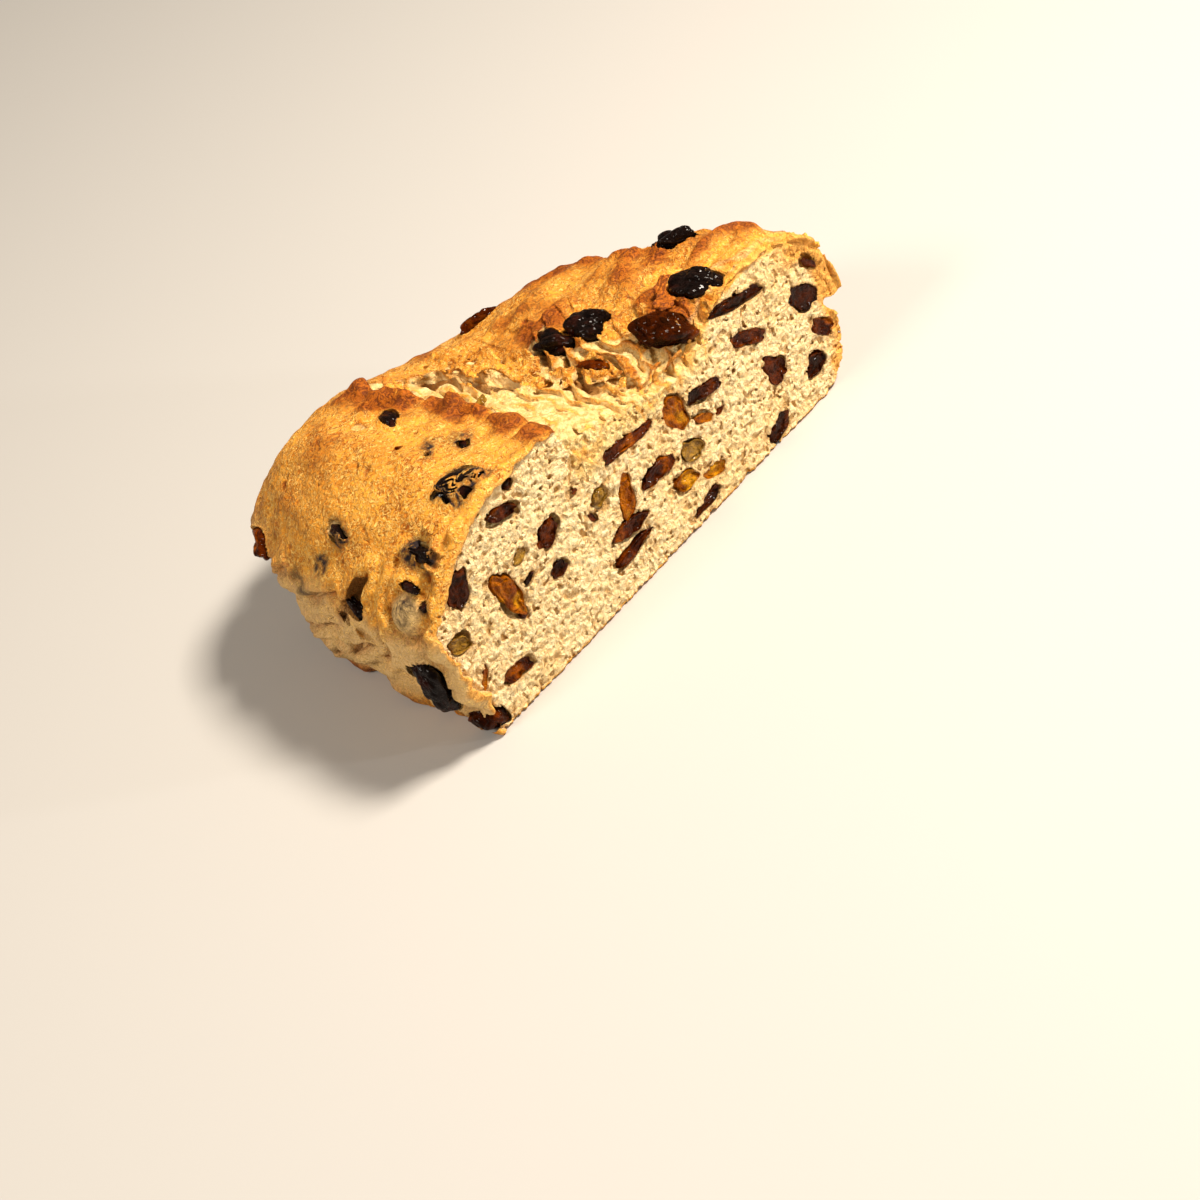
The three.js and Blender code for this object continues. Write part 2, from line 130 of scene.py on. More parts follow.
# -------------------- noise
class Noise:
    """Smooth random field: cubic B-splines over a lattice of random numbers."""

    LOW = (-112.0, -82.0, -12.0)
    HIGH = (112.0, 82.0, 92.0)
    EVEN_OUT = 2.1               # brings the smoothed numbers back to about -1 to 1

    def __init__(self, seed: int, spacing: float | tuple[float, float, float]) -> None:
        """Draws the lattice.

        Args:
            seed: Seed of the random numbers.
            spacing: Distance between lattice points in mm, one or one per axis.
        """
        self.spacing = (spacing,) * 3 if isinstance(spacing, (int, float)) else spacing
        counts = [int((b - a) / s) + 5 for a, b, s in zip(self.LOW, self.HIGH, self.spacing)]
        rng = np.random.default_rng(seed)
        self.lattice = (rng.random(counts, dtype=np.float32) * 2.0 - 1.0) * self.EVEN_OUT

    def _weights(self, axis: int, values: np.ndarray) -> tuple[np.ndarray, np.ndarray]:
        """First lattice index and the four spline weights for coordinates on one axis.

        Args:
            axis: Number of the axis.
            values: Coordinates on it.

        Returns:
            First lattice indices, and the four weights of each.
        """
        t = (np.asarray(values, np.float64) - self.LOW[axis]) / self.spacing[axis]
        first = np.floor(t).astype(np.int64)
        u = (t - first).astype(np.float32)
        weights = np.stack([
            (1 - u) ** 3,
            3 * u**3 - 6 * u**2 + 4,
            -3 * u**3 + 3 * u**2 + 3 * u + 1,
            u**3,
        ]) / 6.0
        return first, weights

    def _matrix(self, axis: int, values: np.ndarray) -> tuple[slice, np.ndarray]:
        """Lattice planes that a grid's axis needs, and the interpolation matrix over them.

        Args:
            axis: Number of the axis.
            values: Coordinates on it.

        Returns:
            The planes' indices, and a matrix with a row a coordinate.
        """
        first, weights = self._weights(axis, values)
        start, stop = int(first.min()), int(first.max()) + 4
        matrix = np.zeros((len(values), stop - start), np.float32)
        rows = np.arange(len(values))
        for k in range(4):
            matrix[rows, first - start + k] = weights[k]
        return slice(start, stop), matrix

    def on_grid(self, axes: Sequence[np.ndarray]) -> np.ndarray:
        """The field on a grid.

        Args:
            axes: Coordinates of the grid's planes along X, Y and Z.

        Returns:
            The values, an array of the axes' three lengths.
        """
        (sx, mx), (sy, my), (sz, mz) = (self._matrix(i, v) for i, v in enumerate(axes))
        out = np.tensordot(self.lattice[sx, sy, sz], mz, (2, 1))
        out = np.tensordot(out, my, (1, 1))
        out = np.tensordot(out, mx, (0, 1))
        return np.ascontiguousarray(out.transpose(2, 1, 0))

    def at_points(self, axes: Sequence[np.ndarray]) -> np.ndarray:
        """The field at scattered points.

        Args:
            axes: The points' coordinates along X, Y and Z.

        Returns:
            The values, one a point.
        """
        (fx, wx), (fy, wy), (fz, wz) = (self._weights(i, v) for i, v in enumerate(axes))
        out = np.zeros(len(axes[0]), np.float32)
        for i in range(4):
            for j in range(4):
                for k in range(4):
                    out += wx[i] * wy[j] * wz[k] * self.lattice[fx + i, fy + j, fz + k]
        return out


class Space:
    """Places where the dough's field is worked out: a grid or scattered points, in loaf mm."""

    def __init__(self, noises: dict[str, Noise], axes: Sequence[np.ndarray], grid: bool) -> None:
        """Keeps the coordinates in the shape that the formulas broadcast.

        Args:
            noises: The noises by name.
            axes: Coordinates along X, Y and Z, one per grid plane or one per point.
            grid: Whether the three are the axes of a grid.
        """
        self.noises = noises
        self.axes = tuple(np.asarray(v, np.float32) for v in axes)
        self.grid = grid
        self.x, self.y, self.z = self.axes
        if grid:
            self.x, self.y, self.z = np.ix_(*self.axes)
        self._kept: dict[str, np.ndarray] = {}

    def __getitem__(self, name: str) -> np.ndarray:
        """The values of a noise in this space, worked out once.

        Args:
            name: The noise's name.

        Returns:
            Numbers of about -1 to 1, one a place.
        """
        if name not in self._kept:
            noise = self.noises[name]
            self._kept[name] = (noise.on_grid if self.grid else noise.at_points)(self.axes)
        return self._kept[name]

    def near(self, centre: Vector, reach: float) -> tuple:
        """Finds the places within reach of a centre.

        Args:
            centre: The centre in loaf mm.
            reach: Distance from it along each axis.

        Returns:
            An index into this space's arrays.
        """
        if self.grid:
            spans = []
            for axis, c in zip(self.axes, centre):
                low, high = np.searchsorted(axis, (c - reach, c + reach))
                spans.append(slice(int(low), int(high)))
            return tuple(spans)
        inside = np.ones(len(self.x), bool)
        for axis, c in zip(self.axes, centre):
            inside &= np.abs(axis - c) < reach
        return (np.nonzero(inside)[0],)

    def part(self, index: tuple) -> "Space":
        """The sub-space under an index.

        Args:
            index: An index from near.

        Returns:
            The space with the places that it picks.
        """
        axes = zip(self.axes, index) if self.grid else ((a, index[0]) for a in self.axes)
        sub = Space(self.noises, [axis[where] for axis, where in axes], self.grid)
        sub._kept = {name: values[index] for name, values in self._kept.items()}
        return sub

    def around(self, things: Iterable) -> Iterator[tuple[object, tuple, "Space"]]:
        """Goes through the things that have places of this space near them.

        Args:
            things: Things with a centre and a reach in loaf mm.

        Yields:
            The thing, the index of the places near it, and the sub-space there.
        """
        for thing in things:
            index = self.near(thing.centre, thing.reach)
            part = self.part(index)
            if min(len(a) for a in part.axes) > 0:
                yield thing, index, part


def distance_from(s: Space, spot: Spot) -> np.ndarray:
    """Distance in mm of a space's places from a spot."""
    x, y, z = spot
    return np.sqrt((s.x - x) ** 2 + (s.y - y) ** 2 + (s.z - z) ** 2)


# -------------------- form of the loaf
@dataclass(frozen=True)
class LoafForm:
    """The loaf's sizes in mm, in its own frame: X across the cut, the cut at y = cut_y."""

    cut_y: float = -60.0
    centre: tuple[float, float] = (0.0, -50.0)
    bulge: tuple[float, float] = (44.0, 31.0)  # height of the widest line, left and right
    shoulder: tuple[float, float] = (40.0, 25.0)  # width of the rounded shoulder
    roundness: tuple[float, float] = (1.45, 1.95)
    undercut: float = 9.0  # how far the foot is drawn in
    half_width: float = 95.0
    left_lip_height: float = 68.5
    left_rise: float = 0.155  # mm a mm, away from the left lip
    left_rise_from: float = -28.0  # x of the left lip at the cut
    left_rise_over: float = 30.0
    right_height: tuple[float, float] = (58.0, 62.0)
    right_rise: Ramp = Ramp(5, 45)  # x over which the right lobe rises
    lobes: Ramp = Ramp(-34, 10)  # x over which the left lobe ends
    dip: tuple[float, float] = (24.0, -62.0)  # x and y of the dip at the cut
    dip_half: tuple[float, float] = (13.0, 9.0)
    dip_depth: float = 7.0
    tail_drop: float = 9.5
    tail_length: float = 115.0
    outline: Points = (
        (95, -60), (91, -36), (80, -12), (62, 12), (34, 37), (0, 49), (-42, 54), (-70, 45),
        (-87, 20), (-95, -18), (-95.5, -60), (-80, -105), (0, -120), (80, -105),
    )
    left_lip: Points = (
        (-28, -66), (-28, -60), (-26.5, -40), (-26, -10), (-32, 6), (-30, 20), (-26, 30),
    )
    right_lip: Points = (
        (24, -66), (20, -60), (8, -53), (5, -40), (3, -30), (-5, -20), (-4, -5), (-5, 8),
        (-12, 18), (-22, 27), (-25, 30),
    )
    crust_lip: Points = (  # where the browned crust of the right lobe begins
        (40, -66), (36, -60), (31, -51), (28, -42), (20, -34), (15, -26), (19, -18),
        (20, -10), (8, -8), (4, 3), (2, 13), (-6, 17), (-16, 23), (-24, 28),
    )
    tear_end: float = 31.0
    floor_top: tuple[float, float] = (62.6, -22.0)  # height of the tear's floor at an x
    floor_slope: float = 0.34
    floor_low: float = 51.0
    floor_drop: float = 6.0  # towards the rounded end
    lip_thickness: float = 3.5  # of the right lip over its hollow
    lip_undercut: float = 8.0  # depth of that hollow
    gutter_depth: float = 6.0  # of the gutter in the floor beside the lip
    skin: float = 3.6  # thickness of the skin that is torn off
    overhang_height: float = 28.5  # of the crust over the broken right flank
    broken_from: float = 55.0  # x from which the foot is broken

    def across(self, pair: tuple[float, float], x: np.ndarray) -> np.ndarray:
        """A size that differs from the left flank to the right, at x."""
        w = np.clip((x + self.half_width) / (2 * self.half_width), 0, 1)
        return pair[0] + (pair[1] - pair[0]) * w

    def plan_radius(self, angle: np.ndarray) -> np.ndarray:
        """Distance from the centre to the widest line, by the angle of the spoke."""
        return np.interp(angle % math.tau, *self._plan_table()).astype(np.float32)

    def _plan_table(self) -> tuple[np.ndarray, np.ndarray]:
        """The closed cubic curve through the outline's points, once round and a step more.

        Returns:
            Angles in rising order, and the radius at each.
        """
        cx, cy = self.centre
        knots = sorted(
            (math.atan2(y - cy, x - cx) % math.tau, math.hypot(x - cx, y - cy))
            for x, y in self.outline
        )
        n = len(knots)
        angles, radii = [], []
        for i in range(n):
            (a0, r0), (a1, r1), (a2, r2), (a3, r3) = (
                (knots[j % n][0] + math.tau * (j // n), knots[j % n][1])
                for j in (i - 1, i, i + 1, i + 2)
            )
            span = a2 - a1
            m1 = (r2 - r0) / (a2 - a0) * span
            m2 = (r3 - r1) / (a3 - a1) * span
            t = np.linspace(0, 1, 40, endpoint=False)
            angles.append(a1 + t * span)
            radii.append(
                (2 * t**3 - 3 * t**2 + 1) * r1 + (t**3 - 2 * t**2 + t) * m1
                + (3 * t**2 - 2 * t**3) * r2 + (t**3 - t**2) * m2
            )
        angle, radius = np.concatenate(angles), np.concatenate(radii)
        order = np.argsort(angle % math.tau)
        angle, radius = (angle % math.tau)[order], radius[order]
        return (
            np.concatenate([[angle[-1] - math.tau], angle, [angle[0] + math.tau]]),
            np.concatenate([[radius[-1]], radius, [radius[0]]]),
        )

    def backness(self, y: np.ndarray) -> np.ndarray:
        """How far back a place lies, 0 at the cut and 1 at the rounded end."""
        return np.clip((y - self.cut_y) / self.tail_length, 0, 1)

    def lobe_height(self, x: np.ndarray, y: np.ndarray) -> np.ndarray:
        """Height that the crust would have away from its edge.

        Args:
            x: Coordinates along X.
            y: Coordinates along Y.

        Returns:
            The heights.
        """
        over = self.left_rise_over
        beyond = np.clip(self.left_rise_from - x, -over, over)
        left = self.left_lip_height + self.left_rise * beyond
        low, high = self.right_height
        right = low + (high - low) * self.right_rise(x)
        (at_x, at_y), (wide, long) = self.dip, self.dip_half
        dip = self.dip_depth * np.exp(-(((x - at_x) / wide) ** 2) - ((y - at_y) / long) ** 2)
        top = left + (right - left) * self.lobes(x)
        return top - self.tail_drop * self.backness(y) ** 2 - dip

    def floor_height(self, x: np.ndarray, y: np.ndarray) -> np.ndarray:
        """Height of the tear's floor.

        Args:
            x: Coordinates along X.
            y: Coordinates along Y.

        Returns:
            The heights.
        """
        z, at = self.floor_top
        level = np.maximum(z - self.floor_slope * (x - at), self.floor_low)
        return level - self.floor_drop * self.backness(y) ** 2


# -------------------- fruit as forms
class FruitKind(Enum):
    """Which finish a piece of fruit takes."""

    BLACK = "raisin"
    FLESH = "raisin, dark red flesh"
    BROWN = "raisin, red-brown"
    SULTANA = "sultana"
    PEEL = "peel"


class FruitPlace(Enum):
    """How a piece of fruit lies in the dough."""

    CRUST = "stands out of the crust"
    VEILED = "lies under a thin, cracked skin of crust"
    CUT = "sliced by the knife"


MOVED = {                        # mm from the node's middle
    "raisin_top_left": (0.0, 0.0, -1.6), "raisin_top_back": (0.0, 0.0, -0.8),
    "raisin_flank_cut": (-1.6, 0.3, 0.8), "raisin_flank_cavity": (1.8, 0.0, -1.0),
    "raisin_top_blister": (0.0, 0.0, -0.6), "raisin_foot_cut": (2.0, 0.6, 0.0),
}
COVERED = 1.1                    # times the node's size: fruit in the crust, whose edge it covers
GROWN = {"raisin_foot_cut": 1.45}     # the same for fruit that the crust covers further
DARK_NODES = {"sultana_top_cut", "raisin_foot_cut"}
VEILED_NODES = {"raisin_top_blister", "raisin_top_slit", "raisin_top_crack"}
BROWN_NODES = {
    "raisin_top_back", "raisin_flank_left", "raisin_flank_low",
    "raisin_back_2", "raisin_back_5", "raisin_back_8", "sultana_cut_high", "sultana_cut_low",
    "raisin_cut_crescent", "raisin_cut_sliver", "raisin_cut_long", "raisin_cut_middle",
    "raisin_cut_brown", "raisin_cut_round", "raisin_cut_ruby",
}


@dataclass(frozen=True)
class FruitForm:
    """A lumpy body about a centre, in loaf mm."""

    name: str
    seed: int
    kind: FruitKind
    place: FruitPlace
    centre: Vector
    turn: Matrix                 # columns are the long, the broad and the thin direction
    half: Vector
    in_frame: bool = True        # whether it stands for a node of the frame

    @classmethod
    def from_node(cls, node: str, seed: int, cut_y: float) -> "FruitForm":
        """Reads place, direction and size of a fruit from its node in the frame.

        Args:
            node: The node's name.
            seed: Number that sets its lumps apart from the others'.
            cut_y: Plane of the knife cut in loaf mm.

        Returns:
            The form that fills the node's space.
        """
        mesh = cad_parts[node].data
        co = np.empty(len(mesh.vertices) * 3)
        mesh.vertices.foreach_get("co", co)
        co = np.unique(np.round(co.reshape(-1, 3) / MM, 3), axis=0)
        co[:, 0] += ORIGIN_IN_LOAF[0]
        co[:, 1] += ORIGIN_IN_LOAF[1]
        sliced = "_cut_" in node
        if sliced:                              # the half that the knife took away
            co = np.concatenate([co, co * (1, -1, 1) + (0, 2 * cut_y, 0)])
        middle = (co.min(0) + co.max(0)) / 2
        _, axes = np.linalg.eigh(np.cov((co - co.mean(0)).T))
        axes = axes[:, ::-1]
        if np.linalg.det(axes) < 0:
            axes[:, 2] *= -1
        spread = (co - middle) @ axes
        half = (spread.max(0) - spread.min(0)) / 2 * GROWN.get(node, 1.0 if sliced else COVERED)
        middle = middle + axes @ ((spread.max(0) + spread.min(0)) / 2)
        middle = middle + MOVED.get(node, (0.0, 0.0, 0.0))
        place = FruitPlace.VEILED if node in VEILED_NODES else FruitPlace.CRUST
        if sliced:
            place = FruitPlace.CUT
        return cls(node, seed, cls.kind_of(node), place, Vector(middle), Matrix(axes.tolist()),
                   Vector(half))

    @staticmethod
    def kind_of(node: str) -> FruitKind:
        """Which finish the fruit of a node takes.

        Args:
            node: The node's name.

        Returns:
            The kind.
        """
        if node.startswith("peel"):
            return FruitKind.PEEL
        if node in DARK_NODES:
            return FruitKind.FLESH
        if node in BROWN_NODES:
            return FruitKind.BROWN
        if node.startswith("sultana"):
            return FruitKind.SULTANA
        return FruitKind.BLACK

    @classmethod
    def bit(cls, name: str, seed: int, kind: FruitKind, place: FruitPlace,
            centre: Spot, half: Spot, turn: float) -> "FruitForm":
        """A smaller piece of fruit that is no node of its own.

        Args:
            name: Its name.
            seed: Number that sets its lumps apart from the others'.
            kind: Which finish it takes.
            place: How it lies in the dough.
            centre: Its middle in loaf mm.
            half: Half sizes along its own three directions.
            turn: Degrees from +X; in the cut face about -Y, elsewhere about +Z.

        Returns:
            The form.
        """
        about, sign = ("Y", -1) if place is FruitPlace.CUT else ("Z", 1)
        matrix = Matrix.Rotation(sign * math.radians(turn), 3, about)
        return cls(name, seed, kind, place, Vector(centre), matrix, Vector(half), False)

    def lumps(self, u: np.ndarray, v: np.ndarray, w: np.ndarray) -> np.ndarray:
        """Radius in the direction (u, v, w) of the unit body: 1 with lumps and dents.

        Args:
            u: Part of the direction along the fruit.
            v: Part across it.
            w: Part through it.

        Returns:
            The radius.
        """
        s = float(self.seed)
        return (
            1.0
            + 0.14 * np.sin(2.9 * u + 1.3 * s) * np.cos(2.6 * v + 0.7 * s)
            + 0.1 * np.sin(4.6 * w + 3.1 * u + 2.1 * s)
            + 0.07 * np.sin(6.1 * v - 4.4 * u + 0.9 * s)
            - 0.12 * u * math.sin(1.7 * s)
        ) * 0.98

    def distance(self, s: Space) -> np.ndarray:
        """Rough distance in mm to the fruit's surface, negative inside.

        Args:
            s: The places.

        Returns:
            The distances.
        """
        dx, dy, dz = (v - c for v, c in zip((s.x, s.y, s.z), self.centre))
        parts = []
        for k in range(3):
            a = self.turn.col[k]
            parts.append((dx * a[0] + dy * a[1] + dz * a[2]) / self.half[k])
        rho = np.sqrt(sum(p * p for p in parts)) + 1e-6
        u, v, w = (p / rho for p in parts)
        scale = 1.0 / np.sqrt((u / self.half[0]) ** 2 + (v / self.half[1]) ** 2
                              + (w / self.half[2]) ** 2)
        return (rho - self.lumps(u, v, w)) * scale

    @property
    def reach(self) -> float:
        """Radius in mm of the sphere that holds it and its surroundings."""
        return max(self.half) * 1.25 + 4.0


@dataclass(frozen=True)
class Flake:
    """A thin curved sheet of torn crust or crumb, sizes in mm and angles in degrees."""

    centre: Spot
    turn: float                  # direction of the long side in plan, from +X
    lift: float                  # slope of the sheet across its long side
    half_long: float
    half_wide: float
    thickness: float = 0.9
    curl: float = 0.04

    @property
    def reach(self) -> float:
        """Radius of the sphere that holds it."""
        return max(self.half_long, self.half_wide) + 2.5

    def distance(self, s: Space, rag: np.ndarray) -> np.ndarray:
        """Rough distance in mm to the sheet, negative inside.

        Args:
            s: The places.
            rag: Unevenness in mm that frays the sheet's edge.

        Returns:
            The distances.
        """
        turn, lift = math.radians(self.turn), math.radians(self.lift)
        dx, dy, dz = (v - c for v, c in zip((s.x, s.y, s.z), self.centre))
        a = dx * math.cos(turn) + dy * math.sin(turn)
        level = -dx * math.sin(turn) + dy * math.cos(turn)
        b = level * math.cos(lift) + dz * math.sin(lift)
        c = -level * math.sin(lift) + dz * math.cos(lift)
        bent = c - self.curl * b * b - 0.6 * self.curl * a * a * np.sign(b)
        edge = (np.hypot(a / self.half_long, b / self.half_wide) - 1) * self.half_wide
        return soft_max(np.abs(bent) - self.thickness / 2 + 0.4 * rag, edge + 3.0 * rag, 0.4)


@dataclass(frozen=True)
class Hollow:
    """A bubble or cavity: an ellipsoid in loaf mm."""

    centre: Spot
    half: Spot

    @property
    def reach(self) -> float:
        """Radius of the sphere that holds it."""
        return max(self.half) + 2.0

    def distance(self, s: Space) -> np.ndarray:
        """Rough distance in mm to its wall, negative inside."""
        parts = [(v - c) / h for v, c, h in zip((s.x, s.y, s.z), self.centre, self.half)]
        return (np.sqrt(sum(p * p for p in parts)) - 1) * min(self.half)


# -------------------- where things lie, in loaf mm
FLAKES = (                       # the flaps and flakes of the tear, the cut's edge and the left flank
    Flake((9.5, -38.0, 57.0), 84, -24, 8.0, 3.6),
    Flake((1.5, -30.0, 56.5), 70, -30, 6.5, 3.4),
    Flake((-5.5, -25.0, 58.0), 105, -22, 5.0, 3.0),
    Flake((6.5, -49.0, 55.5), 60, -26, 6.5, 3.0),
    Flake((14.0, -55.5, 54.5), 20, -34, 6.0, 3.0, 0.8),
    Flake((21.0, -57.5, 53.8), 8, -40, 5.5, 3.0, 0.8),
    Flake((28.5, -57.8, 53.2), 30, -30, 4.5, 2.6, 0.8),
    Flake((-4.5, -2.0, 59.6), 88, -24, 8.0, 5.4, 1.3),
    Flake((-9.0, 11.0, 59.4), 110, -20, 7.5, 5.0, 1.2),
    Flake((-1.0, -15.0, 58.6), 96, -28, 8.0, 5.6, 1.4),
    Flake((-24.0, 18.0, 61.5), 60, 30, 6.0, 3.0),
    Flake((35.5, -47.5, 64.0), 15, 30, 5.0, 3.0, 0.8),
    Flake((40.5, -43.5, 65.6), -20, 25, 4.0, 2.6, 0.8),
    Flake((31.0, -45.0, 64.0), 60, -20, 4.0, 2.4, 0.8),
    Flake((-74.0, -49.5, 68.3), 50, -18, 3.6, 2.2, 0.8),
    Flake((-96.4, -20.0, 38.5), 82, 78, 7.0, 4.0, 1.0, 0.03),
    Flake((-95.0, -33.0, 45.0), 70, 80, 4.0, 3.4, 1.0, 0.03),
    Flake((-83.5, -55.0, 61.5), 60, 40, 3.4, 2.2, 0.8),
    Flake((-78.0, -56.5, 64.5), 30, 36, 3.0, 2.0, 0.8),
)
CAVITY = 4.0                     # mm: a hollow with a half size above it is a cavity with painted shade
HOLLOWS = (                      # opened bubbles of the cut, and cavities of the tear and flank
    Hollow((-51.0, -60.5, 66.0), (2.4, 2.6, 2.0)),
    Hollow((-64.0, -60.2, 27.0), (1.5, 1.8, 1.3)),
    Hollow((-57.0, -60.3, 35.0), (2.4, 2.0, 1.5)),
    Hollow((-57.0, -60.2, 44.0), (2.6, 1.4, 1.9)),
    Hollow((84.5, -60.5, 44.5), (3.4, 2.4, 1.3)),
    Hollow((36.0, -60.3, 47.5), (1.8, 1.6, 1.2)),
    Hollow((-36.0, -60.3, 52.0), (1.6, 1.5, 1.2)),
    Hollow((-8.5, -9.0, 54.4), (5.0, 12.0, 5.0)),
    Hollow((-14.0, 9.0, 55.4), (4.0, 8.5, 4.4)),
    Hollow((2.0, -37.0, 53.6), (2.4, 6.0, 1.8)),
    Hollow((-91.5, -27.5, 47.0), (6.6, 5.2, 6.2)),
    Hollow((-93.5, -22.0, 42.0), (5.0, 2.6, 4.8)),
    Hollow((-48.0, 7.0, 69.0), (2.2, 3.4, 2.6)),
)
FIRST_BIT_SEED = 60              # above the seeds of the nodes' fruit
BITS = (                         # name, kind, place, middle, half sizes and turn
    ("raisin_bit_tear", FruitKind.BROWN, FruitPlace.CRUST, (9.5, -38.0, 57.2), (6.0, 2.2, 1.6), -70),
    ("peel_bit_tear", FruitKind.PEEL, FruitPlace.CRUST, (-21.0, -19.0, 62.6), (2.6, 1.6, 1.2), 20),
    ("raisin_bit_hollow", FruitKind.BLACK, FruitPlace.CUT, (-51.0, -58.2, 66.0), (2.2, 1.4, 1.6), 0),
    ("raisin_bit_dark", FruitKind.BLACK, FruitPlace.CUT, (-57.5, -59.6, 35.5), (2.6, 1.6, 1.3), 20),
    ("raisin_bit_low", FruitKind.BROWN, FruitPlace.CUT, (-64.0, -59.7, 27.0), (1.6, 1.4, 1.2), 0),
    ("raisin_bit_red", FruitKind.BROWN, FruitPlace.CUT, (-28.5, -59.8, 34.6), (2.4, 1.2, 1.0), -60),
    ("raisin_bit_speck", FruitKind.BROWN, FruitPlace.CUT, (-31.0, -59.8, 47.0), (1.1, 1.0, 0.8), 0),
    ("sultana_bit_olive", FruitKind.PEEL, FruitPlace.CUT, (-57.0, -59.7, 44.2), (3.2, 1.6, 1.8), 30),
    ("sultana_bit_pale", FruitKind.SULTANA, FruitPlace.CUT, (-85.0, -59.8, 21.0), (3.8, 1.2, 1.1), 62),
    ("raisin_bit_slit", FruitKind.BROWN, FruitPlace.CUT, (84.0, -59.6, 45.0), (4.0, 1.6, 1.4), -52),
    ("sultana_bit_cluster", FruitKind.SULTANA, FruitPlace.CUT, (23.5, -59.8, 30.5), (4.2, 1.6, 1.6),
     -30),
    ("raisin_bit_mid", FruitKind.BROWN, FruitPlace.CUT, (31.0, -59.8, 28.0), (1.8, 1.2, 1.1), 10),
    ("raisin_bit_edge", FruitKind.BLACK, FruitPlace.CRUST, (-91.0, -56.5, 53.0), (2.0, 1.6, 1.4), 40),
    ("raisin_bit_crescent", FruitKind.BLACK, FruitPlace.CRUST, (-88.8, -50.5, 56.0), (4.4, 1.9, 1.5), 82),
    ("raisin_bit_left", FruitKind.BLACK, FruitPlace.VEILED, (-51.0, -30.0, 70.6), (4.0, 1.3, 1.2), 35),
    ("raisin_bit_lip", FruitKind.BLACK, FruitPlace.VEILED, (-44.0, -36.0, 69.6), (3.6, 1.2, 1.1), 50),
)
MOUNDS = (                       # x, y, z, radius and height of swellings in the crust
    (-90.0, -38.0, 40.0, 8.0, 1.0), (-66.0, -50.0, 71.0, 8.0, 0.8),
    (-60.0, 32.0, 62.0, 11.0, 1.4), (-36.0, 36.0, 60.0, 9.0, 2.2), (-8.0, 38.0, 52.0, 10.0, 1.8),
    (32.0, 8.0, 58.0, 10.0, 1.6), (50.0, -4.0, 57.0, 9.0, -1.0), (44.0, -26.0, 62.0, 11.0, 1.6),
    (66.0, -46.0, 61.0, 10.0, 1.2), (22.0, -6.0, 60.0, 7.0, 1.8), (2.0, 20.0, 57.0, 9.0, 1.2),
)
BLISTER = (-91.5, -50.0, 48.5, 7.0)   # x, y, z and radius of a bubble in the left flank
BRUISES = (                      # x, y, z and radius of grey patches where fruit lies below
    (-92.0, 5.0, 44.0, 6.0), (-91.0, -57.0, 53.0, 2.2), (-84.0, 21.0, 49.0, 4.0),
    (-89.0, -9.0, 52.0, 2.6), (-78.0, 31.0, 21.0, 6.0), (-95.0, -44.0, 44.0, 2.4),
)
CREASES = (                      # lines of (y, z) along which the left flank is folded in
    ((-41.0, 59.0), (-40.5, 53.0), (-43.0, 48.0), (-49.0, 44.5), (-57.0, 44.0)),
    ((-31.0, 54.0), (-27.0, 49.5), (-22.0, 46.0), (-19.0, 40.0), (-15.0, 35.0)),
    ((-39.0, 46.0), (-36.0, 39.0), (-34.0, 31.0), (-28.0, 24.0)),
    ((-18.0, 47.0), (-10.0, 44.5), (-4.0, 40.0), (3.0, 35.0)),
    ((-24.0, 30.0), (-15.0, 23.0), (-5.0, 16.0), (6.0, 11.0)),
    ((-8.0, 30.0), (2.0, 25.0), (13.0, 21.0), (24.0, 12.0)),
    ((12.0, 44.0), (20.0, 38.0), (27.0, 30.0)),
)
SCORCH = (37.0, -46.0, 7.0)      # x, y and radius of the darkest spot of the right lobe


# -------------------- the dough's field
@dataclass(frozen=True)
class Zones:
    """Where the features of the dough begin and end, in loaf mm along the axis that is named."""

    flank_low: Ramp = Ramp(54, 30)  # z: the folded lower part of the left flank
    flank_left: Ramp = Ramp(-40, -70)  # x
    right_side: Ramp = Ramp(-12, 12)  # x: the right lobe
    right_top: Ramp = Ramp(44, 56)  # z
    back: Ramp = Ramp(-20, 20)  # y: the rounded end
    layered_side: Ramp = Ramp(17, 5)  # x past the crust's lip: layered crust
    layered_end: Ramp = Ramp(34, 24)  # y
    ridge_top: Ramp = Ramp(50, 60)  # z: ridge and pleats beside the tear
    ridge_end: Ramp = Ramp(34, 22)  # y
    pleated: Ramp = Ramp(-22, -8)  # x past the left lip
    rolled: Ramp = Ramp(-24, -44)  # x: crust rolled over the cut's edge
    uncreased: Ramp = Ramp(-78, -66)  # x: to the right of the creased flank
    chip_right: Ramp = Ramp(71, 80)  # x: where the chipping is widest
    chip_start: Ramp = Ramp(18, 28)  # x
    chip_above: Ramp = Ramp(30, 36)  # z
    torn_above: Ramp = Ramp(44, 50)  # z: the torn skin
    undercut_start: Ramp = Ramp(-58, -44)  # y: the hollow under the right lip
    undercut_end: Ramp = Ramp(30, 12)  # y
    undercut_below: Ramp = Ramp(1.5, -2.5)  # z past the lip's own height
    gutter_start: Ramp = Ramp(-34, -22)  # y: the gutter along the right lip
    floor_layers_side: Ramp = Ramp(-12, 0)  # x: layers in the tear's floor
    floor_layers_start: Ramp = Ramp(-54, -44)  # y
    foot_broken: Ramp = Ramp(7, 0)  # z: crumbled foot of the right flank
    broken_start: Ramp = Ramp(-18, -46)  # y: broken right flank
    dense: Ramp = Ramp(6.0, 1.5)  # depth: close crumb under the crust
    thick_side: Ramp = Ramp(-26, -70)  # x: where the golden band is thick
    thick_above: Ramp = Ramp(4, 14)  # z


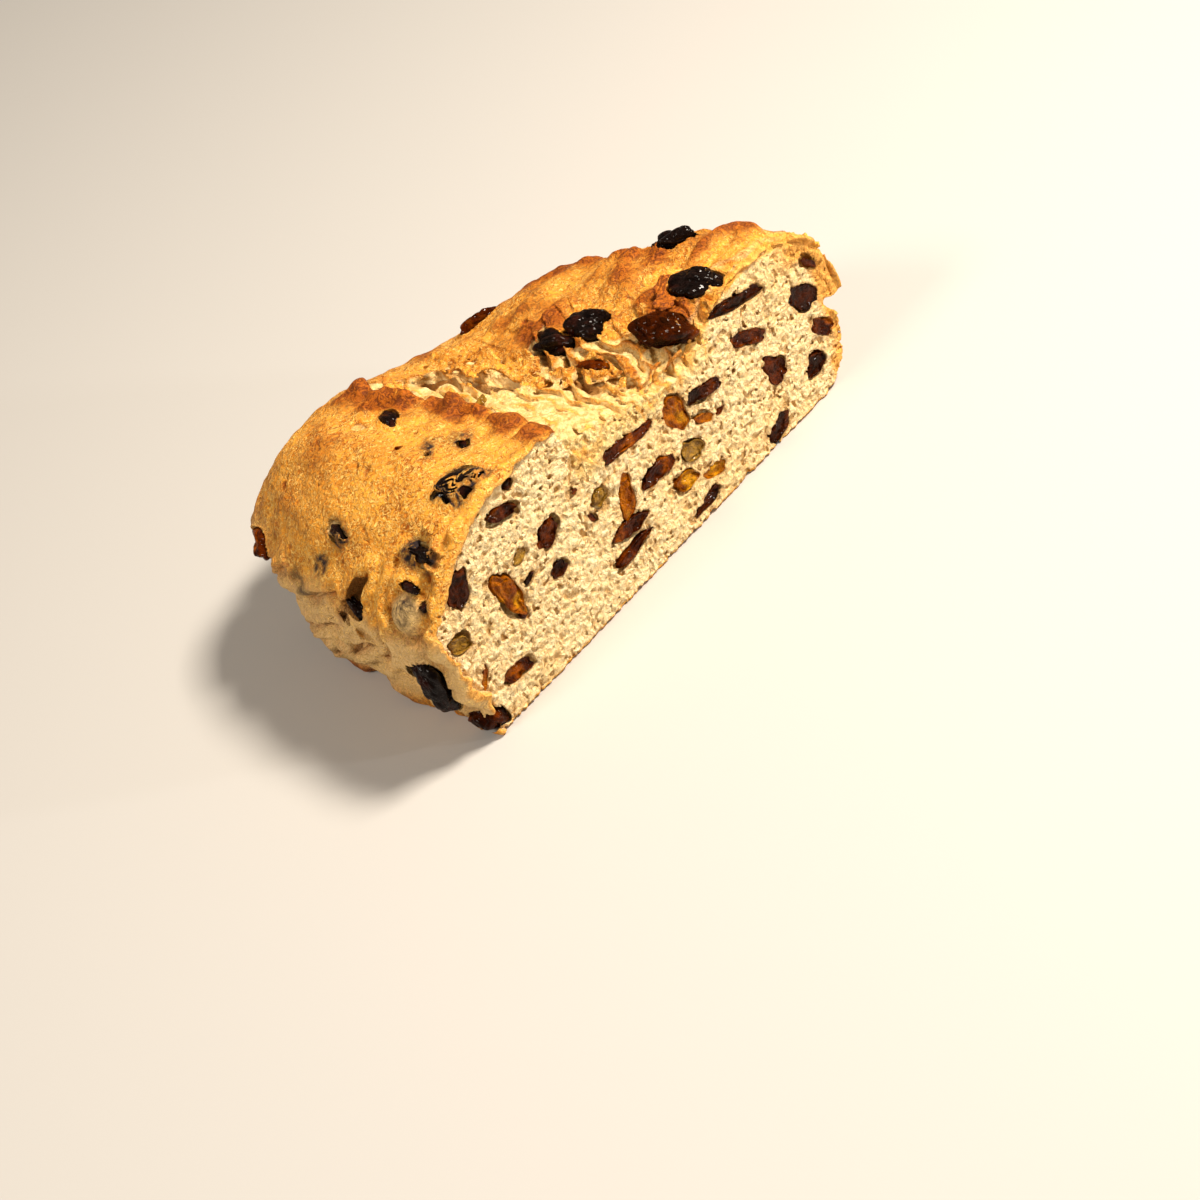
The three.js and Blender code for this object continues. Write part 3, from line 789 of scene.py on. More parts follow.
@dataclass(frozen=True)
class Relief:
    """Heights and widths in mm of what makes the crust uneven."""

    fine: float = 0.16  # of the finest noise
    rough: float = 0.6  # how uneven it is everywhere
    rough_right: float = 0.25  # how much more on the right lobe
    rough_low_left: float = 0.6  # how much more low on the left flank
    rough_back: float = 0.5  # how much more towards the rounded end
    fold: float = 4.2
    fold_middle: float = 0.3  # noise at which a fold has no height
    fold_flat: float = 0.55  # noise above which its top is flat
    bank: tuple[float, float, float] = (3.4, 2.0, 1.5)  # place, width and height beside a crease
    crease: tuple[float, float] = (0.9, 2.4)  # width and depth
    crease_wobble: float = 1.6
    layer: float = 1.5
    ridge: tuple[float, float, float] = (-2.6, 3.4, 1.9)  # place past the lip, width and height
    pleat: float = 2.6
    pit: float = 4.0
    pit_share: float = 0.88  # noise above which a bubble has burst
    roll: tuple[float, float, float] = (0.6, 1.9, 1.1)  # place past the cut, width and height
    groove: tuple[float, float, float] = (4.6, 1.5, 0.8)
    blister: tuple[float, float] = (0.6, -2.4)  # where its wall ends and begins
    blister_height: float = 2.6
    blister_rim: tuple[float, float] = (0.9, 1.3)  # width and depth of the groove round it


@dataclass
class Dough:
    """The field of the dough: negative inside, close to millimetres near the surface."""

    form: LoafForm
    fruit: list[FruitForm]
    zones: Zones = Zones()
    relief: Relief = Relief()
    seed: int = 11
    noises: dict[str, Noise] = field(default_factory=dict)

    SPACINGS = {                            # of the noises, in mm
        "broad": 17.0, "swell": 9.0, "knead": 4.6, "grain": 2.3, "fine": 1.25,
        "rag": 5.5, "shred": 2.2, "pore": 1.15, "thread": 0.95, "cell": 0.72, "pit": 1.9,
        "strand": (1.4, 2.6, 1.4), "pleat": (10.0, 3.4, 9.0),
        "fold": (14.0, 11.0, 4.2), "crease": 2.4, "wrinkle": 0.9,
    }

    def __post_init__(self) -> None:
        """Draws the noises."""
        for i, (name, spacing) in enumerate(self.SPACINGS.items()):
            self.noises[name] = Noise(self.seed + i, spacing)

    def space(self, axes: Sequence[np.ndarray], grid: bool = False) -> Space:
        """Places for the field: points, or a grid from the coordinates of its planes."""
        return Space(self.noises, axes, grid)

    def inward(self, s: Space) -> np.ndarray:
        """Distance in plan from the loaf's widest line, positive inside it.

        Args:
            s: The places.

        Returns:
            The distances.
        """
        cx, cy = self.form.centre
        angle = np.arctan2(s.y - cy, s.x - cx)
        return self.form.plan_radius(angle) - np.hypot(s.x - cx, s.y - cy)

    def hull(self, s: Space) -> np.ndarray:
        """The loaf as a smooth dome on its foot, before it is torn and cut.

        Args:
            s: The places.

        Returns:
            One number a place.
        """
        f = self.form
        inward = self.inward(s)
        bulge = f.across(f.bulge, s.x)
        width = f.across(f.shoulder, s.x)
        power = f.across(f.roundness, s.x).astype(np.float32)
        height = f.lobe_height(s.x, s.y) - bulge
        drawn_in = f.undercut * np.clip(1 - s.z / bulge, 0, 1.4) ** 2
        side = np.clip(1 - (inward - drawn_in) / width, 0, 4).astype(np.float32)
        top = np.clip((s.z - bulge) / height, 0, 4).astype(np.float32)
        tiny = np.float32(1e-6)
        norm = np.exp(np.log(np.exp(power * np.log(side + tiny))
                             + np.exp(power * np.log(top + tiny))) / power)
        scale = (side * width + top * height + 0.5) / (side + top + 0.02)
        return (norm - 1) * scale

    def crust(self, s: Space, hull: np.ndarray) -> np.ndarray:
        """The hull with the unevenness of a risen and baked crust.

        Args:
            s: The places.
            hull: The smooth dome there.

        Returns:
            One number a place.
        """
        f, r, zones = self.form, self.relief, self.zones
        swell, knead, grain = (s[name] for name in ("swell", "knead", "grain"))
        low_left = zones.flank_low(s.z) * zones.flank_left(s.x)
        right = zones.right_side(s.x) * zones.right_top(s.z)
        rough = r.rough + r.rough_right * right + r.rough_low_left * low_left
        rough = rough + r.rough_back * zones.back(s.y)
        relief = s["broad"] + rough * (1.2 * swell + 0.75 * knead + 0.4 * grain)
        relief = relief + r.fine * s["fine"]
        relief = relief + low_left * self.folds(s)
        crease = self.from_crease(s)
        place, width, height = r.bank
        relief = relief + height * hump(crease, place, width)
        width, depth = r.crease
        relief = relief - depth * hump(crease, 0.0, width)
        beside = zones.layered_side(s.x - along(f.crust_lip, s.y)) * zones.layered_end(s.y)
        relief = relief + right * beside * r.layer * (self.layers(s) - 0.5)
        lip = along(f.left_lip, s.y)
        place, width, height = r.ridge
        above = zones.ridge_top(s.z) * zones.ridge_end(s.y)
        ridge = hump(s.x - lip - place, 0, width) * above
        relief = relief + ridge * (height + 2.4 * knead + 1.2 * grain)
        relief = relief + zones.pleated(s.x - lip) * above * r.pleat * s["pleat"]
        for x, y, z, size, height in MOUNDS:
            far = ((s.x - x) ** 2 + (s.y - y) ** 2 + (s.z - z) ** 2) / size**2
            relief = relief + height * np.exp(-far)
        relief = relief - r.pit * self.pits(s)
        relief = relief + self.rolled_rim(s) * zones.rolled(s.x)
        x, y, z, size = BLISTER
        far = distance_from(s, (x, y, z)) + 1.2 * knead
        (outer, inner), (width, depth) = r.blister, r.blister_rim
        relief = relief + r.blister_height * smoothstep(size + outer, size + inner, far)
        relief = relief - depth * hump(far, size + outer, width)
        return hull - relief + self.chipped(s)

    def folds(self, s: Space) -> np.ndarray:
        """Relief in mm of the flank's folds, flat on top and sharp in the valleys."""
        fold = np.minimum(np.abs(s["fold"]), self.relief.fold_flat) - self.relief.fold_middle
        return self.relief.fold * fold + 0.8 * s["knead"]

    def rolled_rim(self, s: Space) -> np.ndarray:
        """Relief in mm of the crust's edge, rolled over the cut with a groove behind it.

        Args:
            s: The places.

        Returns:
            One number a place.
        """
        cut = self.form.cut_y
        place, width, height = self.relief.roll
        roll = hump(s.y, cut + place, width) * (height + 1.2 * s["grain"])
        place, width, depth = self.relief.groove
        return roll - depth * hump(s.y, cut + place, width)

    def from_crease(self, s: Space) -> np.ndarray:
        """Distance in mm to the nearest crease of the left flank, in the plane across X.

        Args:
            s: The places.

        Returns:
            The distances.
        """
        nearest = np.full(np.broadcast_shapes(s.y.shape, s.z.shape), 99.0, np.float32)
        for line in CREASES:
            for (y0, z0), (y1, z1) in zip(line, line[1:]):
                dy, dz = y1 - y0, z1 - z0
                t = np.clip(((s.y - y0) * dy + (s.z - z0) * dz) / (dy * dy + dz * dz), 0, 1)
                nearest = np.minimum(nearest, np.hypot(s.y - y0 - t * dy, s.z - z0 - t * dz))
        side = 30.0 * self.zones.uncreased(s.x)
        return np.abs(nearest + self.relief.crease_wobble * s["knead"] + side)

    def pits(self, s: Space) -> np.ndarray:
        """Small burst bubbles, strewn over the crust: above 0 in one."""
        bubbles = s["pit"] + 0.25 * s["fine"]
        return np.maximum(bubbles - self.relief.pit_share, 0)

    def layers(self, s: Space) -> np.ndarray:
        """Height in the overlapping layers of a torn surface: 0 at a layer's root, 1 at its edge.

        Args:
            s: The places.

        Returns:
            One number a place.
        """
        rise = 0.75 * s["swell"] + 0.32 * s["knead"]
        rise = rise + 0.15 * s["shred"] - 0.155 * s.x + 0.05 * s.y
        part = rise - np.floor(rise)
        return part * smoothstep(1.0, 0.9, part)

    def chipped(self, s: Space) -> np.ndarray:
        """1 where the knife chipped the right lobe's crust off along the cut's top edge.

        Args:
            s: The places.

        Returns:
            One number a place.
        """
        zones = self.zones
        ragged = 3.6 * s["rag"] + 2.4 * s["shred"]
        reach = 1.5 + 6.0 * hump(s.x, 50.0, 12.0) + 8.0 * zones.chip_right(s.x)
        edge = s.y - self.form.cut_y + ragged
        chipped = smoothstep(reach + 0.5, reach - 0.5, edge)
        return chipped * zones.chip_start(s.x) * zones.chip_above(s.z)

    def step_of_crust(self, s: Space) -> np.ndarray:
        """1 where the right lobe's skin is torn off between the tear and its browned crust.

        Args:
            s: The places.

        Returns:
            One number a place.
        """
        f = self.form
        ragged = along(f.crust_lip, s.y) + 2.0 * s["rag"] + 0.9 * s["shred"]
        torn = smoothstep(0.5, -0.5, s.x - ragged)
        span = smoothstep(f.tear_end + 3, f.tear_end - 3, s.y)
        beside = smoothstep(-0.3, 0.6, s.x - along(f.left_lip, s.y))
        return torn * span * beside * self.zones.torn_above(s.z)

    def tear(self, s: Space) -> np.ndarray:
        """The long tear: positive inside it, in mm from its floor and walls.

        Args:
            s: The places.

        Returns:
            One number a place.
        """
        f, zones = self.form, self.zones
        ragged = 1.5 * s["rag"] + 0.8 * s["shred"]
        left = s.x - along(f.left_lip, s.y) - 0.8 * ragged
        lip = along(f.right_lip, s.y)
        lip_height = f.lobe_height(lip, s.y) - f.lip_thickness
        span = zones.undercut_start(s.y) * zones.undercut_end(s.y)
        under = f.lip_undercut * span * zones.undercut_below(s.z - lip_height)
        right = lip + under + 1.3 * ragged - s.x
        floor = s.z - f.floor_height(s.x, s.y)
        floor = floor - s["rag"] - 0.5 * s["strand"]
        floor = floor + f.gutter_depth * span * hump(s.x - lip, 1.0, 3.6) * zones.gutter_start(s.y)
        layers = 2.0 * self.layers(s) * zones.floor_layers_side(s.x)
        floor = floor - layers * zones.floor_layers_start(s.y)
        end = f.tear_end - s.y + ragged
        return soft_min(soft_min(left, right, 1.5), soft_min(floor, end, 2.0), 2.5)

    def breakage(self, s: Space) -> np.ndarray:
        """What is broken off the lower right flank beside the cut: positive inside it.

        Args:
            s: The places.

        Returns:
            One number a place.
        """
        f, zones = self.form, self.zones
        bulge = f.across(f.bulge, s.x)
        inward = self.inward(s) - f.undercut * np.clip(1 - s.z / bulge, 0, 1.4) ** 2
        rag = s["rag"]
        reach = 4.6 + 4.2 * hump(s.z, 27.0, 3.5) + 3.0 * zones.foot_broken(s.z)
        reach = reach * zones.broken_start(s.y) + 1.5 * rag + 1.2 * s["shred"]
        under_lip = f.overhang_height + 1.6 * rag - s.z
        return np.minimum(np.minimum(reach - inward, under_lip), s.x - f.broken_from)

    def knife(self, s: Space, depth: np.ndarray) -> np.ndarray:
        """The knife cut: outside it positive, with the pores that it opened in the crumb.

        Args:
            s: The places.
            depth: Depth under the crust there.

        Returns:
            One number a place.
        """
        f = self.form
        grain, fine, cell = (s[name] for name in ("grain", "fine", "cell"))
        dense = self.zones.dense(depth)
        opening = 0.5 * s["pore"] + 0.12 * grain + 0.45 * cell - 0.24 - 0.4 * dense
        shallow = f.cut_y + 0.6 + 0.5 * grain + 0.3 * fine - s.y
        threads = 0.3 - 0.75 * np.abs(s["thread"])
        plane = f.cut_y - s.y + 0.3 * fine - threads * (1 - dense) + 0.1 * cell
        band = self.band(s)
        rim = np.clip(depth / band, 0, 1)
        thick = np.clip(band - 1.3, 0.0, 1.6)
        plane = plane - (0.35 + 1.1 * thick) * np.sqrt(np.sin(math.pi * rim) + 1e-6)
        plane = plane + 0.7 * hump(depth - band - 0.5, 0, 0.6)
        return np.maximum(plane, np.minimum(opening, shallow))

    def band(self, s: Space) -> np.ndarray:
        """Thickness in mm of the golden layer under the crust, thick at the left flank."""
        thick = self.zones.thick_side(s.x) * self.zones.thick_above(s.z)
        return np.maximum(1.3 + 2.2 * thick + 1.1 * s["knead"], 0.7)

    def torn_crumb(self, s: Space) -> np.ndarray:
        """Relief of crumb that was pulled apart: short strands with pores between them.

        Args:
            s: The places.

        Returns:
            One number a place.
        """
        pits = np.maximum(0.6 * s["pore"] + 0.5 * s["pit"] - 0.2, 0)
        threads = 0.3 * np.abs(s["thread"]) + 0.25 * np.abs(s["strand"])
        return 1.4 * pits + threads - 0.2 - 0.4 * s["shred"] + 0.15 * s["cell"]

    def add_flakes(self, s: Space, field_: np.ndarray) -> None:
        """Joins the thin sheets of torn crust and crumb to the dough.

        Args:
            s: The places.
            field_: The field there, which is changed.
        """
        for flake, index, part in s.around(FLAKES):
            ragged = 0.35 * part["shred"] + 0.2 * part["fine"]
            sheet = flake.distance(part, ragged)
            field_[index] = soft_min(field_[index], sheet, 0.8)

    def add_skins(self, s: Space, field_: np.ndarray) -> None:
        """Raises a collar of crust round the fruit, or a thin skin right over it.

        Args:
            s: The places.
            field_: The field there, which is changed.
        """
        whole = (fruit for fruit in self.fruit if fruit.place is not FruitPlace.CUT)
        for fruit, index, part in s.around(whole):
            d = fruit.distance(part)
            veiled = fruit.place is FruitPlace.VEILED
            skin, blend = (d - 0.3, 2.2) if veiled else (d + 0.3, 3.6)
            field_[index] = soft_min(field_[index], skin, blend)
            if veiled:
                crack = 0.3 - np.abs(part["knead"]) + 0.5 * part["shred"]
                field_[index] = np.maximum(field_[index], np.minimum(crack * 3, 1.2 - np.abs(d)))

    def carve_pockets(self, s: Space, field_: np.ndarray) -> None:
        """Cuts the pocket of each fruit, a little wider than the fruit.

        Args:
            s: The places.
            field_: The field there, which is changed.
        """
        for fruit, index, part in s.around(self.fruit):
            d = fruit.distance(part)
            gap = 0.02
            if fruit.place is not FruitPlace.VEILED:
                gap = gap + 0.1 + 0.3 * np.maximum(part["knead"], 0)
            if fruit.place is FruitPlace.CRUST:
                gap = gap + 0.25 * np.maximum(part["rag"], 0)
            if fruit.place is FruitPlace.CUT:
                gap = gap + 1.3 * np.maximum(part["knead"] - 0.1, 0)
            field_[index] = np.maximum(field_[index], gap - d)

    def hollows(self, s: Space, field_: np.ndarray) -> None:
        """Takes out the larger bubbles and the cavities.

        Args:
            s: The places.
            field_: The field there, which is changed.
        """
        for hollow, index, part in s.around(HOLLOWS):
            rough = 0.5 * part["grain"] + 0.35 * min(hollow.half) * part["knead"]
            d = hollow.distance(part) + rough
            field_[index] = np.maximum(field_[index], -d)

    def value(self, s: Space) -> np.ndarray:
        """The whole field of the dough.

        Args:
            s: Grid or points where it is wanted.

        Returns:
            Distance in mm, roughly, negative inside the dough.
        """
        crust = self.crust(s, self.hull(s))
        depth = -crust
        step, tear, chipped = self.step_of_crust(s), self.tear(s), self.chipped(s)
        torn = np.maximum(np.maximum(step, smoothstep(-1.6, 0.0, tear)), chipped)
        skin = self.form.skin
        dough = crust + step * (skin - (skin + 0.3) * self.layers(s))
        self.add_skins(s, dough)
        dough = soft_max(dough, tear, 1.2)
        self.add_flakes(s, dough)
        dough = dough + torn * self.torn_crumb(s)
        clumps = 0.9 * np.abs(s["shred"]) + 0.7 * np.abs(s["grain"]) - 0.4
        dough = dough + 2.4 * chipped * clumps
        dough = np.maximum(dough, self.breakage(s) + 0.4 * self.torn_crumb(s))
        self.hollows(s, dough)
        dough = np.maximum(dough, self.knife(s, depth))
        self.carve_pockets(s, dough)
        base = -s.z + 0.25 * np.maximum(s["knead"], 0)
        return soft_max(dough, base, 0.8)


# -------------------- masks for the finish
@dataclass(frozen=True)
class MaskZones:
    """Where the masks begin and end, in loaf mm along the axis or measure that is named."""

    behind_cut: tuple[float, float] = (1.9, 1.2)  # mm behind the cut: end of the cut's masks
    crust: tuple[float, float] = (0.75, 0.5)  # thickness, and softness of its inner side
    base: float = 0.9  # z under which the crumb has a crust
    foot: Ramp = Ramp(9, 1.5)  # z: browned foot
    band: Ramp = Ramp(1.15, 0.75)  # depth as a share of the golden band
    top: Ramp = Ramp(56, 62)  # z: browned ridge and pleats
    top_end: Ramp = Ramp(36, 26)  # y
    pleated: Ramp = Ramp(-24, -6)  # x past the left lip
    right_side: Ramp = Ramp(-8, 14)  # x: browned right lobe
    right_top: Ramp = Ramp(40, 52)  # z
    back: Ramp = Ramp(-40, 30)  # y: browner towards the rounded end
    scorched: Ramp = Ramp(50, 56)  # z
    by_cut: tuple[float, float] = (8.0, 1.0)  # mm behind the cut: darker crust along the cut's edge
    by_cut_left: Ramp = Ramp(0, -20)  # x
    flank_top: Ramp = Ramp(50, 38)  # z: pale left flank
    flank_side: Ramp = Ramp(40, -60)  # x
    shadow: Ramp = Ramp(3.6, 0.2)  # distance from fruit under a skin
    stained: float = 0.7  # mm in which the stain round fruit fades
    cavity: Ramp = Ramp(1.6, -0.2)  # distance from a cavity's wall: painted shade inside it
    bruise: Ramp = Ramp(1.1, 0.3)  # distance as a share of the bruise's radius
    bubble: Ramp = Ramp(1.1, 0.8)  # distance as a share of the blister's radius
    chip_depth: Ramp = Ramp(3.5, 2.0)  # depth
    edge_depth: Ramp = Ramp(12.5, 7.0)  # depth: golden crumb at the right edge
    edge_side: Ramp = Ramp(66, 80)  # x
    layer_edge: Ramp = Ramp(0.66, 0.9)  # height in a layer
    layered: Ramp = Ramp(-8, 0)  # x


class Masks:
    """The masks of one mesh: numbers from 0 to 1 at its vertices, by which the finish mixes."""

    def __init__(self, dough: Dough, points: np.ndarray) -> None:
        """Works out what several masks share.

        Args:
            dough: The dough's field.
            points: The mesh's vertices as rows of loaf mm.
        """
        self.dough, self.form, self.zones = dough, dough.form, MaskZones()
        self.s = s = dough.space(points.T)
        self.depth = -dough.crust(s, dough.hull(s))
        self.knead, self.swell, self.rag, self.grain = (
            s[name] for name in ("knead", "swell", "rag", "grain"))
        outer, inner = self.zones.behind_cut
        self.cut = smoothstep(self.form.cut_y + outer, self.form.cut_y + inner, s.y)
        self.foot = self.zones.foot(s.z)
        self.step = dough.step_of_crust(s)
        x, y, z, size = BLISTER
        self.bubble = self.zones.bubble(distance_from(s, (x, y, z)) / size)

    def by_name(self) -> dict[str, np.ndarray]:
        """The masks by the names that the finish reads.

        Returns:
            For each name one number a vertex.
        """
        inside = self.inside()
        torn = np.maximum(self.step, 1 - self.cut) * inside
        chipped = self.dough.chipped(self.s) * self.zones.chip_depth(self.depth)
        crumb = np.maximum(inside, chipped)
        # painted shade: the crumb darker the further it lies behind the cut plane, in the opened pores
        pore = np.clip((self.s.y - self.form.cut_y) / self.zones.behind_cut[1], 0, 1) * self.cut
        return {
            "crumb": crumb, "gold": self.gold(crumb, torn, chipped), "brown": self.brown(),
            "pale": self.pale(), "bruise": self.bruise(), "juice_stain_and_cavity_shade": self.juice_stain_and_cavity_shade(),
            "pore": pore, "torn": torn,
        }

    def inside(self) -> np.ndarray:
        """1 on crumb and 0 on crust, by the depth under the loaf's skin.

        Returns:
            The mask.
        """
        thickness, soft = self.zones.crust
        rim = thickness + 0.3 * self.grain
        crumb = smoothstep(rim, rim + soft, self.depth)
        return crumb * np.where(self.s.z < self.zones.base + 0.3 * self.grain, 0.0, 1.0)

    def gold(self, crumb: np.ndarray, torn: np.ndarray, chipped: np.ndarray) -> np.ndarray:
        """Golden crumb: the band under the crust, chips, the right edge and layers' edges.

        Args:
            crumb: The mask of crumb.
            torn: The mask of torn crumb.
            chipped: The mask of chipped crust.

        Returns:
            The mask.
        """
        zones, s = self.zones, self.s
        gold = zones.band(self.depth / self.dough.band(s)) * self.cut
        gold = np.maximum(gold, chipped * (0.8 + 0.7 * self.grain))
        edge = zones.edge_depth(self.depth + 2.0 * self.knead) * zones.edge_side(s.x)
        gold = np.maximum(gold, edge * crumb)
        layer_edge = zones.layer_edge(self.dough.layers(s) + 0.2 * self.knead)
        return np.maximum(gold, layer_edge * torn * np.maximum(self.step, zones.layered(s.x)))

    def brown(self) -> np.ndarray:
        """Browned crust on the ridges, pleats, right lobe and foot, darker in burst bubbles,
        and painted shade in the left flank's creases.

        Returns:
            The mask.
        """
        zones, s, form = self.zones, self.s, self.form
        past_lip = s.x - along(form.left_lip, s.y)
        above = zones.top(s.z) * zones.top_end(s.y)
        ridge = hump(past_lip + 3.5 + 3.0 * self.rag, 0, 6.0) * above
        pleats = zones.pleated(past_lip) * above * s["pleat"]
        right = zones.right_side(s.x) * zones.right_top(s.z)
        patches = np.clip(0.5 * self.swell + 0.6 * self.knead + 0.25, 0, 1)
        fine_patches = np.clip(0.5 + 0.9 * self.knead + 0.7 * self.grain, 0, 1)
        x, y, radius = SCORCH
        scorch = hump(np.hypot(s.x - x, s.y - y), 0.0, radius) * zones.scorched(s.z)
        brown = ridge * (0.6 + 0.9 * fine_patches) + right * (0.2 + 0.75 * patches) + 0.25 * patches
        brown = brown + 1.2 * scorch * fine_patches
        brown = brown + 0.35 * zones.back(s.y) * (0.4 + patches) + 0.5 * pleats
        far, near = zones.by_cut
        beside = smoothstep(form.cut_y + far, form.cut_y + near, s.y)
        brown = brown + 0.3 * beside * (1 - self.cut) * zones.by_cut_left(s.x)
        # darker in the burst bubbles
        brown = brown + 3.0 * self.dough.pits(s)
        # painted shade: the crust darker along the left flank's creases
        creases = hump(self.dough.from_crease(s), 0.0, 1.1)
        return np.clip(brown + 0.5 * self.foot * (1 - self.cut) + 0.6 * creases, 0, 1)

    def pale(self) -> np.ndarray:
        """Pale crust: the left flank and the blister in it.

        Returns:
            The mask.
        """
        zones, s = self.zones, self.s
        flank = zones.flank_top(s.z + 3.0 * self.rag) * (1 - self.foot) * zones.flank_side(s.x)
        return np.maximum(np.clip(flank * (0.9 + 0.4 * self.swell), 0, 1), self.bubble)

    def bruise(self) -> np.ndarray:
        """Grey crust over fruit that lies right under it, over the bruises and the blister.

        Returns:
            The mask.
        """
        s, zones = self.s, self.zones
        bruise = np.zeros(len(s.x), np.float32)
        veiled = [fruit for fruit in self.dough.fruit if fruit.place is FruitPlace.VEILED]
        for fruit, index, part in s.around(veiled):
            far = fruit.distance(part)
            dark = zones.shadow(far + 1.4 * self.knead[index])
            vein = hump(part["shred"], 0.0, 0.3)
            bruise[index] = np.maximum(bruise[index], dark * (0.35 + 0.9 * vein))
        for x, y, z, size in BRUISES:
            far = distance_from(s, (x, y, z)) / size
            bruise = np.maximum(bruise, zones.bruise(far + 0.7 * self.rag + 0.5 * self.knead))
        blistered = self.bubble * np.clip(0.3 + 0.9 * self.knead + 0.5 * self.grain, 0, 1)
        return np.maximum(bruise, blistered)

    def juice_stain_and_cavity_shade(self) -> np.ndarray:
        """Crumb that took up juice beside the fruit, and painted shade in the cavities.

        Returns:
            The mask.
        """
        s = self.s
        juice_stain_and_cavity_shade = np.zeros(len(s.x), np.float32)
        for fruit, index, part in s.around(self.dough.fruit):
            far = np.maximum(fruit.distance(part), 0)
            juice_stain_and_cavity_shade[index] = np.maximum(juice_stain_and_cavity_shade[index], np.exp(-far / self.zones.stained))
        for hollow, index, part in s.around(h for h in HOLLOWS if max(h.half) > CAVITY):
            # painted shade inside the larger cavities
            shade = 1.4 * self.zones.cavity(hollow.distance(part))
            juice_stain_and_cavity_shade[index] = np.maximum(juice_stain_and_cavity_shade[index], shade)
        return juice_stain_and_cavity_shade


# -------------------- meshes
def to_frame(points: np.ndarray) -> np.ndarray:
    """Points in loaf mm as metres in the frame."""
    return (points - np.array([ORIGIN_IN_LOAF[0], ORIGIN_IN_LOAF[1], 0.0])) * MM


def to_loaf(points: np.ndarray) -> np.ndarray:
    """Points in metres in the frame as loaf mm."""
    return points / MM + np.array([ORIGIN_IN_LOAF[0], ORIGIN_IN_LOAF[1], 0.0])


def vertices_of(mesh: bpy.types.Mesh) -> np.ndarray:
    """The mesh's vertices as rows of loaf mm.

    Args:
        mesh: A mesh in the frame.

    Returns:
        Its vertices.
    """
    co = np.empty(len(mesh.vertices) * 3)
    mesh.vertices.foreach_get("co", co)
    return to_loaf(co.reshape(-1, 3))


def new_mesh(name: str, points: np.ndarray, faces: list[np.ndarray]) -> bpy.types.Mesh:
    """A smooth mesh from points in loaf mm and arrays of triangles or quads.

    Args:
        name: Name of the mesh.
        points: Rows of x, y, z in loaf mm.
        faces: Arrays of vertex numbers, one row a face.

    Returns:
        The mesh in metres, in the frame.
    """
    mesh = bpy.data.meshes.new(name)
    mesh.vertices.add(len(points))
    mesh.vertices.foreach_set("co", to_frame(points).astype(np.float32).ravel())
    loops = np.concatenate([f.ravel() for f in faces])
    sizes = np.concatenate([np.full(len(f), f.shape[1]) for f in faces])
    mesh.loops.add(len(loops))
    mesh.loops.foreach_set("vertex_index", loops.astype(np.int32))
    mesh.polygons.add(len(sizes))
    starts = np.concatenate([[0], np.cumsum(sizes)[:-1]])
    mesh.polygons.foreach_set("loop_start", starts.astype(np.int32))
    mesh.update(calc_edges=True)
    mesh.shade_smooth()
    return mesh


def link(name: str, mesh: bpy.types.Mesh) -> bpy.types.Object:
    """Puts a mesh into the scene as an object at the origin.

    Args:
        name: The object's name.
        mesh: Its mesh.

    Returns:
        The object.
    """
    obj = bpy.data.objects.new(name, mesh)
    bpy.context.scene.collection.objects.link(obj)
    return obj


def baked(obj: bpy.types.Object) -> bpy.types.Mesh:
    """The object's mesh with its modifiers worked into it, and the modifiers removed.

    Args:
        obj: The object.

    Returns:
        Its new mesh.
    """
    graph = bpy.context.evaluated_depsgraph_get()
    mesh = bpy.data.meshes.new_from_object(obj.evaluated_get(graph))
    obj.modifiers.clear()
    old, obj.data = obj.data, mesh
    bpy.data.meshes.remove(old)
    mesh.name = obj.name
    return mesh


@dataclass(frozen=True)
class Portion:
    """A part of the dough that is meshed by itself: its box in loaf mm and its fineness."""

    name: str
    low: Spot
    high: Spot
    voxel: float
    faces: int                   # triangles after thinning
    seams: tuple[float, ...]     # planes in Y past which it dips under its neighbour


